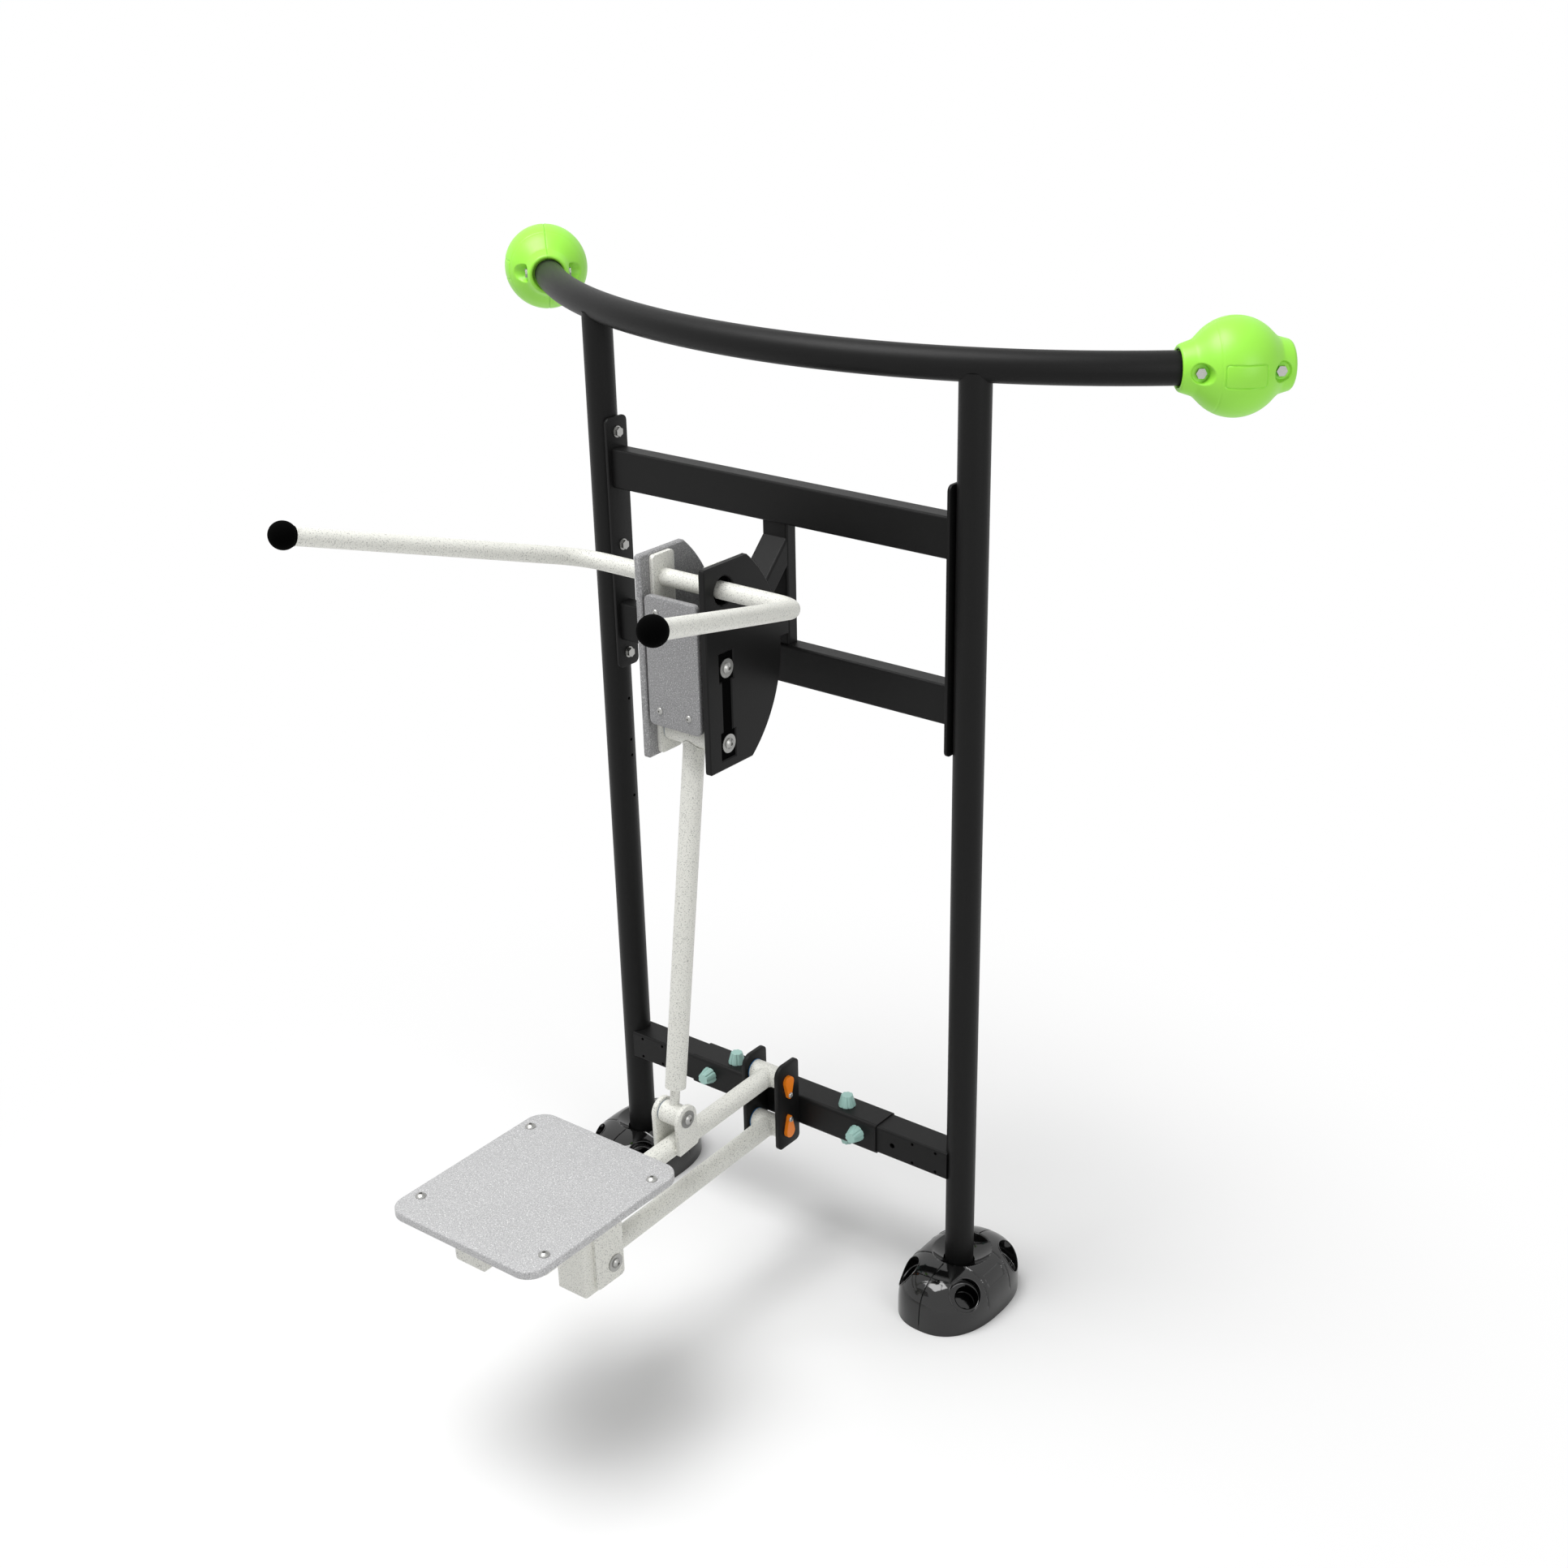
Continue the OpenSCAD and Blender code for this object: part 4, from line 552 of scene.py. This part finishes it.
def bowl_height(x, y):
    """Height of the bowl round the post, and no limit outside it."""
    if math.hypot(x, y - BOWL_Y) >= BOWL_REACH:
        return math.inf
    return BOWL_Z - math.sqrt(max(BOWL_R ** 2 - x * x - (y - BOWL_Y) ** 2, 0))


def cover_point(turn, rise):
    """Point of the right cover's outside, with its grooves, bowl and blank side panel."""
    spread = math.cos(rise) ** (2 / RISE)
    x = COVER_HALF_W * spread * power(math.cos(turn), 2 / PLAN)
    y = COVER_HALF_D * spread * power(math.sin(turn), 2 / PLAN)
    z = COVER_H * math.sin(rise) ** (2 / RISE)
    plan = abs(x / COVER_HALF_W) ** PLAN + abs(y / COVER_HALF_D) ** PLAN
    sideways = plan ** (RISE / PLAN - 1) * RISE
    normal = Vector((
        sideways * power(x / COVER_HALF_W, PLAN - 1) / COVER_HALF_W,
        sideways * power(y / COVER_HALF_D, PLAN - 1) / COVER_HALF_D,
        RISE * (z / COVER_H) ** (RISE - 1) / COVER_H))
    normal.normalize()
    bowl = bowl_height(x, y)
    deep = 0.0
    if z < bowl - 2:
        deep += groove(abs(x), depth=2.2, flat=0.5, side=1.7) * ramp(z, 8, 12)
        crease = groove(abs(abs(y) - LOBE_CREASE_Y), depth=1.5, flat=0.4, side=2.2)
        deep += crease * ramp(z, 30, 45)
        if abs(x) > COVER_SIDE_FROM:
            edge = box_distance(y, z - COVER_PANEL_Z, *COVER_BLANK_PANEL)
            deep += groove(edge, depth=1.8, flat=-0.8, side=0.8)
    deep += groove(abs(z - FOOT_LINE_Z), depth=1.6, flat=0.5, side=2.2)
    point = Vector((x, y, z)) - normal * deep
    point.z = min(point.z, bowl)
    return point


def outside_cover(spot):
    plan = abs(spot.x / COVER_HALF_W) ** PLAN + abs(spot.y / COVER_HALF_D) ** PLAN
    return plan ** (RISE / PLAN) + abs(spot.z / COVER_H) ** RISE > 1


def boolean_cut(part, cutters):
    """The closed part less each closed cutter, worked out exactly."""
    def solid(points, faces):
        holder = bpy.data.objects.new(
            "work", outward_mesh("work", [Vector(p) for p in points], faces, MERGE))
        bpy.context.scene.collection.objects.link(holder)
        return holder
    base = solid(*part)
    tools = [solid(*cutter) for cutter in cutters]
    for tool in tools:
        cut = base.modifiers.new("cut", "BOOLEAN")
        cut.operation = "DIFFERENCE"
        cut.solver = "EXACT"
        cut.object = tool
    result = bpy.data.meshes.new_from_object(
        base.evaluated_get(bpy.context.evaluated_depsgraph_get()))
    out = [v.co.copy() for v in result.vertices], [tuple(p.vertices) for p in result.polygons]
    for holder in [base] + tools:
        bpy.data.objects.remove(holder)
    return out


def well_radius(height):
    wider = (WELL_TOP_R - WELL_FLOOR_R) * (height - WELL_FLOOR) / (WELL_TOP - WELL_FLOOR)
    return WELL_FLOOR_R + wider


def rim_bead(place):
    """Rounded lip along the line where a well meets the cover's outside."""
    steps, halvings = 96, 24
    path = []
    for step in range(steps + 1):
        turn = 2 * math.pi * step / steps
        low, high = -30.0, 40.0
        for _ in range(halvings):
            middle = (low + high) / 2
            radius = well_radius(middle)
            spot = place @ Vector((radius * math.cos(turn), radius * math.sin(turn), middle))
            if outside_cover(spot):
                high = middle
            else:
                low = middle
        path.append(spot)
    return tube_along(path, RIM_BEAD_R, steps=12)


def cover_shell():
    """The right cover with its four anchor wells, and a near-black matte sleeve in each well, which is
    painted shade that darkens the well.
    """
    by_seam = [math.acos((x / COVER_HALF_W) ** (PLAN / 2)) for x in BY_SEAM]
    quarter = sorted(
        by_seam + [by_seam[-1] * (k + 0.5) / COVER_QUARTER for k in range(COVER_QUARTER)])
    turns = quarter + [math.pi - q for q in reversed(quarter)]
    turns += [math.pi + q for q in turns]
    rings = []
    for k in range(COVER_RINGS):
        rise = max(math.pi / 2 * k / COVER_RINGS, 1e-4)
        rings.append([tuple(cover_point(turn, rise)) for turn in turns])
    rings[0] = [(x, y, 0.0) for x, y, z in rings[0]]

    post_opening = turned([(POST_OPENING_R, 60), (POST_OPENING_R, 140)])
    well = turned(rounded_profile([
        (0, WELL_FLOOR, 0), (WELL_FLOOR_R, WELL_FLOOR, WELL_FLOOR_ROUNDING),
        (WELL_TOP_R, WELL_TOP, 0), (0, WELL_TOP, 0)]), 72)
    slanted_hole = turned([(HOLE_BOTTOM_R, HOLE_BOTTOM), (HOLE_TOP_R, 0)])
    upright_bore = turned([(BORE_R, -20), (BORE_R, BORE_TOP)])
    sleeve = moved(flat_ring(SLEEVE_OUT_R, SLEEVE_IN_R, SLEEVE_LENGTH, edge=0.3),
                   Matrix.Translation((0, 0, SLEEVE_BOTTOM)))
    cutters, beads, shade_sleeves = [post_opening], [], []
    for sx in SIDES:
        for sy in SIDES:
            heading = Vector((sx * WELL_Y, sy * WELL_X, 0)).normalized()
            sideways = Vector((sx * WELL_X, -sy * WELL_Y, 0)).normalized()
            axis = heading * math.sin(WELL_TILT) + Vector((0, 0, math.cos(WELL_TILT)))
            spot = Vector((sx * WELL_X, sy * WELL_Y, WELL_Z)) + axis * WELL_LIFT
            slanted = facing(spot + sideways * HOLE_OFFSET, axis)
            anchor = Matrix.Translation((sx * ANCHOR_X, sy * ANCHOR_Y, 0))
            cutters += [moved(well, facing(spot, axis)), moved(slanted_hole, slanted),
                        moved(upright_bore, anchor)]
            shade_sleeves.append(moved(sleeve, slanted))
            beads.append(rim_bead(facing(spot, axis)))
    return joined(boolean_cut(skin(rings), cutters), *beads), joined(*shade_sleeves)


cover, well_shade_sleeves = cover_shell()
for side, word in ((-1, "left"), (1, "right")):
    place = Matrix.Translation((side * POST_X, 0, 0)) @ to_side(side)
    add_piece(f"foot_cover_{word}", "frame", "black_gloss_plastic", *moved(cover, place), crease=32,
              finish="cover_gloss_plastic",
              hides=[f"foot_cover_{word}_outer", f"foot_cover_{word}_inner"])
    # Near-black matte sleeve in each well: painted shade
    add_piece(f"painted_shade_sleeves_{word}", "frame", "black_matte_plastic",
              *moved(well_shade_sleeves, place))


# Lever housing

PIVOT_Y, PIVOT_Z = -270, 1428.5
BAR_Z = PIVOT_Z + 149
CHEEK_HALF_HEIGHT = 200
CHEEK_BACK_R, CHEEK_BACK_CENTRE = 260, -96      # the round back edge; its centre from the pivot
CHEEK_INSIDE_X, CHEEK_THICK = 68.5, 15
BAR_HOLE_R = 27
COVER_BACK_Y = -313
# Drawn x to y, y to z, thickness to x
ACROSS = Matrix(((0, 0, 1, 0), (1, 0, 0, 0), (0, 1, 0, 0), (0, 0, 0, 1)))
# Drawn y to z, thickness to the front
FORWARD = Matrix(((1, 0, 0, 0), (0, 0, -1, 0), (0, 1, 0, 0), (0, 0, 0, 1)))


def across_pair(part, x):
    """A part drawn in y and z, set from x outwards on the right and mirrored on the left."""
    right = moved(part, Matrix.Translation((x, 0, 0)) @ ACROSS)
    return right, moved(right, MIRROR)


def from_pivot(outline):
    return [(PIVOT_Y + y, PIVOT_Z + z) for y, z in outline]


swing = math.degrees(math.asin(CHEEK_HALF_HEIGHT / CHEEK_BACK_R))
cheek_outer = (arc(-49, -194, 6, 180, 270, 6)
               + arc(CHEEK_BACK_CENTRE, 0, CHEEK_BACK_R, -swing, swing, 40)
               + arc(-49, 194, 6, 90, 180, 6))
# Two square openings at the bolts, joined by a slot
cheek_window = [
    (-20, -180), (20, -180), (20, -126), (12.5, -126), (12.5, -24), (20, -24),
    (20, 30), (-20, 30), (-20, -24), (-12.5, -24), (-12.5, -126), (-20, -126)]
bar_hole = circle(BAR_HOLE_R, x=PIVOT_Y, y=BAR_Z)
cheek = plate(from_pivot(cheek_outer), [from_pivot(cheek_window), bar_hole],
              CHEEK_THICK, edge=2.4, steps=1)
right_cheek, left_cheek = across_pair(cheek, CHEEK_INSIDE_X)
add_piece("cheek_panel_right", "lever", "black_gloss_plastic", *right_cheek,
          hides=["cheek_right"], crease=25)
# The left cheek takes the grey panel with painted shade
add_piece("cheek_panel_left", "lever", "grey_panel", *left_cheek, hides=["cheek_left"], crease=25,
          finish="grey_panel_painted_shade")

# Near-black matte rings just inside the cheeks' bar holes: painted shade that hides the lit cream
# lever plates seen through the holes
hole_shade_ring = moved(flat_ring(outer=26.6, inner=17.4, depth=4, edge=0.8),
               Matrix.Translation((PIVOT_Y, BAR_Z, 0)))
add_piece("bar_hole_painted_shade_rings", "lever", "black_matte_plastic", *joined(*across_pair(hole_shade_ring, 68.7)))

cover_face = plate(round_rect(width=124, height=255, radius=11, y=PIVOT_Z + 2), [],
                   depth=13, edge=2)
# The front cover takes the grey panel with painted shade
add_piece("housing_cover", "lever", "grey_panel",
          *moved(cover_face, Matrix.Translation((0, COVER_BACK_Y, 0)) @ FORWARD),
          hides=["front_cover"], finish="grey_panel_painted_shade")


# Plates, bushes, welds and screws of the frame and the arms

ARM_REAR_Y = -75
ARM_FRONT_Y = -624.698
ARM_ENDS = {"upper": ((ARM_REAR_Y, 428.5), (ARM_FRONT_Y, 410.265)),
            "lower": ((ARM_REAR_Y, 306), (ARM_FRONT_Y, 287.765))}
ROD_TOP, ROD_EYE = (PIVOT_Y, 1275.5), (-381.973, 488.955)
SLEEVE_R, TUBE_R = 23, 21.2
BEAD_R, BEAD_RIPPLE = 1.7, 0.25
BUSH_RIM_X = 36.2
CLEVIS_PLATE_X, CLEVIS_FOOT_X = 25, 19.2
CLEVIS_LEAN = math.radians(1.9)
CAP_SCREW_X, CAP_SCREWS_Z = 56.5, (397.5, 337)


def plate_pair(name, body, slot, outline, x, depth, edge, hides):
    """A sheet on each side of the middle, from x outwards."""
    right, left = across_pair(plate(outline, [], depth, edge, steps=2), x)
    add_piece(name, body, slot, *joined(right, left), hides=hides)


plate_pair("lever_side_plates", "lever", "cream_paint",
           round_rect(width=60, height=391, radius=8, steps=6, x=PIVOT_Y, y=PIVOT_Z),
           x=58.5, depth=10, edge=1.2, hides=["lever_plates"])
plate_pair("post_flange_plates", "frame", "black_paint",
           round_rect(width=60, height=525, radius=12, steps=6, y=1508.3),
           x=406.35, depth=6.5, edge=0.9, hides=["flange_plates"])
plate_pair("arm_bearing_plates", "frame", "black_paint",
           arc(-47, 458, 12, 0, 90, 6) + arc(-83, 446, 24, 90, 180, 10)
           + arc(-95, 280, 12, 180, 270, 6) + arc(-47, 280, 12, 270, 360, 6),
           x=38.5, depth=10, edge=1.2, hides=["bearing_plates"])

for word, (rear, front) in ARM_ENDS.items():
    rim = moved(flat_ring(outer=23.8, inner=21.7, depth=2, edge=0.4, count=60),
                Matrix.Translation((*rear, 0)))
    add_piece(f"{word}_arm_bush_rims", f"{word}_arm", "blue_bush",
              *joined(*across_pair(rim, BUSH_RIM_X)))


def weld(start, end):
    """Bead where a tube that leaves a sleeve at start, in y and z, meets the sleeve."""
    steps = 144
    along = (Vector(end) - Vector(start)).normalized()
    path = []
    for step in range(steps + 1):
        turn = 2 * math.pi * step / steps
        rise = TUBE_R * math.sin(turn)
        out = math.sqrt(SLEEVE_R ** 2 - rise ** 2)
        spot = Vector(start) + along * out + Vector((-along.y, along.x)) * rise
        path.append((TUBE_R * math.cos(turn), *spot))
    ripple = [BEAD_R + BEAD_RIPPLE * math.cos(step * math.pi / 2) for step in range(steps + 1)]
    return tube_along(path, ripple, steps=10)


for word, (rear, front) in ARM_ENDS.items():
    add_piece(f"{word}_arm_welds", f"{word}_arm", "cream_paint",
              *joined(weld(rear, front), weld(front, rear)), crease=60)
add_piece("tie_rod_weld", "tie_rod", "cream_paint", *weld(ROD_TOP, ROD_EYE), crease=60)

arm_slope = Matrix.Translation((*ROD_EYE, 0)) @ Matrix.Rotation(CLEVIS_LEAN, 4, "Z")
clevis_outline = arc(0, 0, 29, 0, 180, 30) + [
    (-29, -74), (-27, -76.5), (25, -73), (28, -71), (31, -65)]
clevis_plate = plate(clevis_outline, [], depth=10, edge=1.2)
clevis_foot = plate(round_rect(width=56, height=12, radius=1.5, steps=3, y=-70.6), [],
                    depth=6, edge=0.3)
add_piece("clevis_side_plates", "upper_arm", "cream_paint",
          *joined(*across_pair(moved(clevis_plate, arm_slope), CLEVIS_PLATE_X),
                  *across_pair(moved(clevis_foot, arm_slope), CLEVIS_FOOT_X)),
          hides=["clevis_plates"])

cap_screw = turned([
    (3, -12), (3, 0), (6.2, 0.05), (6.2, 1.2), (5.6, 2.5), (4.5, 3.4), (3.1, 3.8), (2.8, 3.4),
    (2.6, 1.4), (0, 1.4)], 40)
add_piece("bearing_cap_button_screws", "frame", "stainless", *joined(*(
    moved(cap_screw, facing((side * CAP_SCREW_X, ARM_REAR_Y, height), (side, 0, 0)))
    for side in SIDES for height in CAP_SCREWS_Z)), hides=["bearing_cap_screws"])


# Handlebar, drawn flat from its middle to the right grip

BAR_R, BALL_R = 33.7 / 2, 25.5
BAR_BEND_R, BAR_BEND = 70, math.radians(74.6)
BAR_HALF_MIDDLE, BAR_GRIP = 255, 611      # both measured to the corner that the bend rounds off
BAR_RISE = math.radians(-15.4)            # the grips point forwards and up
BEND_STEPS = 36
BAR_PLACE = Matrix.Translation((0, PIVOT_Y, BAR_Z)) @ Matrix.Rotation(BAR_RISE, 4, "X")
tangent = BAR_BEND_R * math.tan(BAR_BEND / 2)
straight, grip = BAR_HALF_MIDDLE - tangent, BAR_GRIP - tangent
bend = [(straight + BAR_BEND_R * math.sin(t), BAR_BEND_R * (math.cos(t) - 1))
        for t in [BAR_BEND * i / BEND_STEPS for i in range(BEND_STEPS + 1)]]
from_x, from_y = bend[-1]
grip_x, grip_y = grip * math.cos(BAR_BEND), -grip * math.sin(BAR_BEND)
right_path = [(0, 0), (straight * 0.5, 0)] + bend + [
    (from_x + grip_x * t, from_y + grip_y * t) for t in (0.02, 0.25, 0.5, 0.75, 1)]
bar_path = [(-x, y, 0) for x, y in reversed(right_path[1:])] + [(x, y, 0) for x, y in right_path]
add_piece("pull_bar", "lever", "cream_paint", *moved(tube_along(bar_path, BAR_R, steps=48), BAR_PLACE),
          hides=["handlebar"])

round_end = [(BALL_R * math.cos(math.radians(q)), BALL_R * math.sin(math.radians(q)))
             for q in range(-47, 90, 4)]
ball = turned([(17.2, -19.4), (18.2, -19)] + round_end + [(0, BALL_R)])
ball_x, ball_y = right_path[-1]
add_piece("bar_end_balls", "lever", "black_matte_plastic", *joined(*(
    moved(ball, BAR_PLACE @ facing((side * ball_x, ball_y, 0), (side * grip_x, grip_y, 0)))
    for side in SIDES)), hides=["handle_balls"])


# Footplate

PANEL_Y, PANEL_BOTTOM = -774.998, 510.065
panel = plate(round_rect(width=368, height=412, radius=39, steps=14, y=PANEL_Y), [],
              depth=18, edge=3.2, steps=4)
add_piece("standing_panel", "footplate", "grey_panel",
          *moved(panel, Matrix.Translation((0, 0, PANEL_BOTTOM))), hides=["footplate_panel"])


# Camera; its lens and middle are measured in the picture's own pixels

PICTURE = 1932
LENS_PIXELS = 2631.53
MIDDLE_X, MIDDLE_Y = 1087.416, 1060.106
CAMERA_PLACE = (2.4668, -3.1142, 2.8169)
CAMERA_DOWN, CAMERA_ROUND = math.radians(90 - 25.7161), math.radians(35.5201)
camera_data = bpy.data.cameras.new("camera")
camera_data.sensor_width = 36
camera_data.lens = LENS_PIXELS / PICTURE * camera_data.sensor_width
camera_data.shift_x = (PICTURE / 2 - MIDDLE_X) / PICTURE
camera_data.shift_y = (MIDDLE_Y - PICTURE / 2) / PICTURE
camera_data.clip_end = 200
camera = bpy.data.objects.new("camera", camera_data)
camera.location = CAMERA_PLACE
camera.rotation_euler = (CAMERA_DOWN, 0, CAMERA_ROUND)
bpy.context.scene.collection.objects.link(camera)
bpy.context.scene.camera = camera


# Light

def soft_lamp(name, place, target, size, power):
    """Square lamp at a place, in metres, turned to a target."""
    lamp = bpy.data.lights.new(name, "AREA")
    lamp.shape = "SQUARE"
    lamp.size = size
    lamp.energy = power
    holder = bpy.data.objects.new(name, lamp)
    holder.location = place
    holder.rotation_euler = (Vector(target) - Vector(place)).to_track_quat("-Z", "Y").to_euler()
    bpy.context.scene.collection.objects.link(holder)


def looked_at(tree):
    """1 for a ray from the camera, also by way of metal or glass, and 0 for one that lights."""
    rays = tree.nodes.new("ShaderNodeLightPath")
    seen = rays.outputs["Is Camera Ray"]
    for kind in ("Is Transmission Ray", "Is Glossy Ray"):
        either = tree.nodes.new("ShaderNodeMath")
        either.operation = "MAXIMUM"
        tree.links.new(seen, either.inputs[0])
        tree.links.new(rays.outputs[kind], either.inputs[1])
        seen = either.outputs[0]
    return seen


soft_lamp("key_lamp", (-1.2, -1.8, 6.5), (0, -0.3, 0.8), size=3.5, power=328)
soft_lamp("side_lamp", (5.0, -1.5, 3.0), (0, 0, 1), size=2.5, power=60)

WORLD_LIGHT, WORLD_WHITE = 0.45, 1.0
world = bpy.data.worlds.new("studio")
world.use_nodes = True
bpy.context.scene.world = world
sky = world.node_tree
background = sky.nodes["Background"]
background.inputs["Color"].default_value = (1, 1, 1, 1)
level = sky.nodes.new("ShaderNodeMapRange")
level.inputs["To Min"].default_value = WORLD_LIGHT
level.inputs["To Max"].default_value = WORLD_WHITE
sky.links.new(looked_at(sky), level.inputs["Value"])
sky.links.new(level.outputs["Result"], background.inputs["Strength"])


# Floor, pale with the object's shadow near it and plain white further out

FLOOR_REACH, FLOOR_Z = 80, -0.0005
SHADOW_MIDDLE = (0, -0.4, 0)
SHADOW_FULL, SHADOW_GONE = 0.6, 2.0
floor_mesh = bpy.data.meshes.new("studio_floor")
floor_mesh.from_pydata(
    [(sx * FLOOR_REACH, sy * FLOOR_REACH, FLOOR_Z) for sx, sy in ((-1, -1), (1, -1), (1, 1), (-1, 1))],
    [], [(0, 1, 2, 3)])
floor = bpy.data.objects.new("studio_floor", floor_mesh)
bpy.context.scene.collection.objects.link(floor)
floor_material = bpy.data.materials.new("pale_floor")
floor_material.use_nodes = True
tree = floor_material.node_tree
floor_surface = tree.nodes["Principled BSDF"]
floor_surface.inputs["Base Color"].default_value = (0.9, 0.9, 0.9, 1)
floor_surface.inputs["Roughness"].default_value = 0.9
floor_surface.inputs["Specular IOR Level"].default_value = 0.0
position = tree.nodes.new("ShaderNodeNewGeometry")
distance = tree.nodes.new("ShaderNodeVectorMath")
distance.operation = "DISTANCE"
distance.inputs[1].default_value = SHADOW_MIDDLE
tree.links.new(position.outputs["Position"], distance.inputs[0])
fade = tree.nodes.new("ShaderNodeMapRange")
fade.interpolation_type = "SMOOTHSTEP"
fade.inputs["From Min"].default_value = SHADOW_FULL
fade.inputs["From Max"].default_value = SHADOW_GONE
tree.links.new(distance.outputs["Value"], fade.inputs["Value"])
glow = tree.nodes.new("ShaderNodeEmission")
mixed = tree.nodes.new("ShaderNodeMixShader")
shown = tree.nodes.new("ShaderNodeMath")
shown.operation = "MULTIPLY"
tree.links.new(fade.outputs["Result"], shown.inputs[0])
tree.links.new(looked_at(tree), shown.inputs[1])
tree.links.new(shown.outputs[0], mixed.inputs["Fac"])
tree.links.new(floor_surface.outputs["BSDF"], mixed.inputs[1])
tree.links.new(glow.outputs["Emission"], mixed.inputs[2])
tree.links.new(mixed.outputs["Shader"], tree.nodes["Material Output"].inputs["Surface"])
floor_mesh.materials.append(floor_material)

bpy.context.scene.view_settings.view_transform = "Standard"
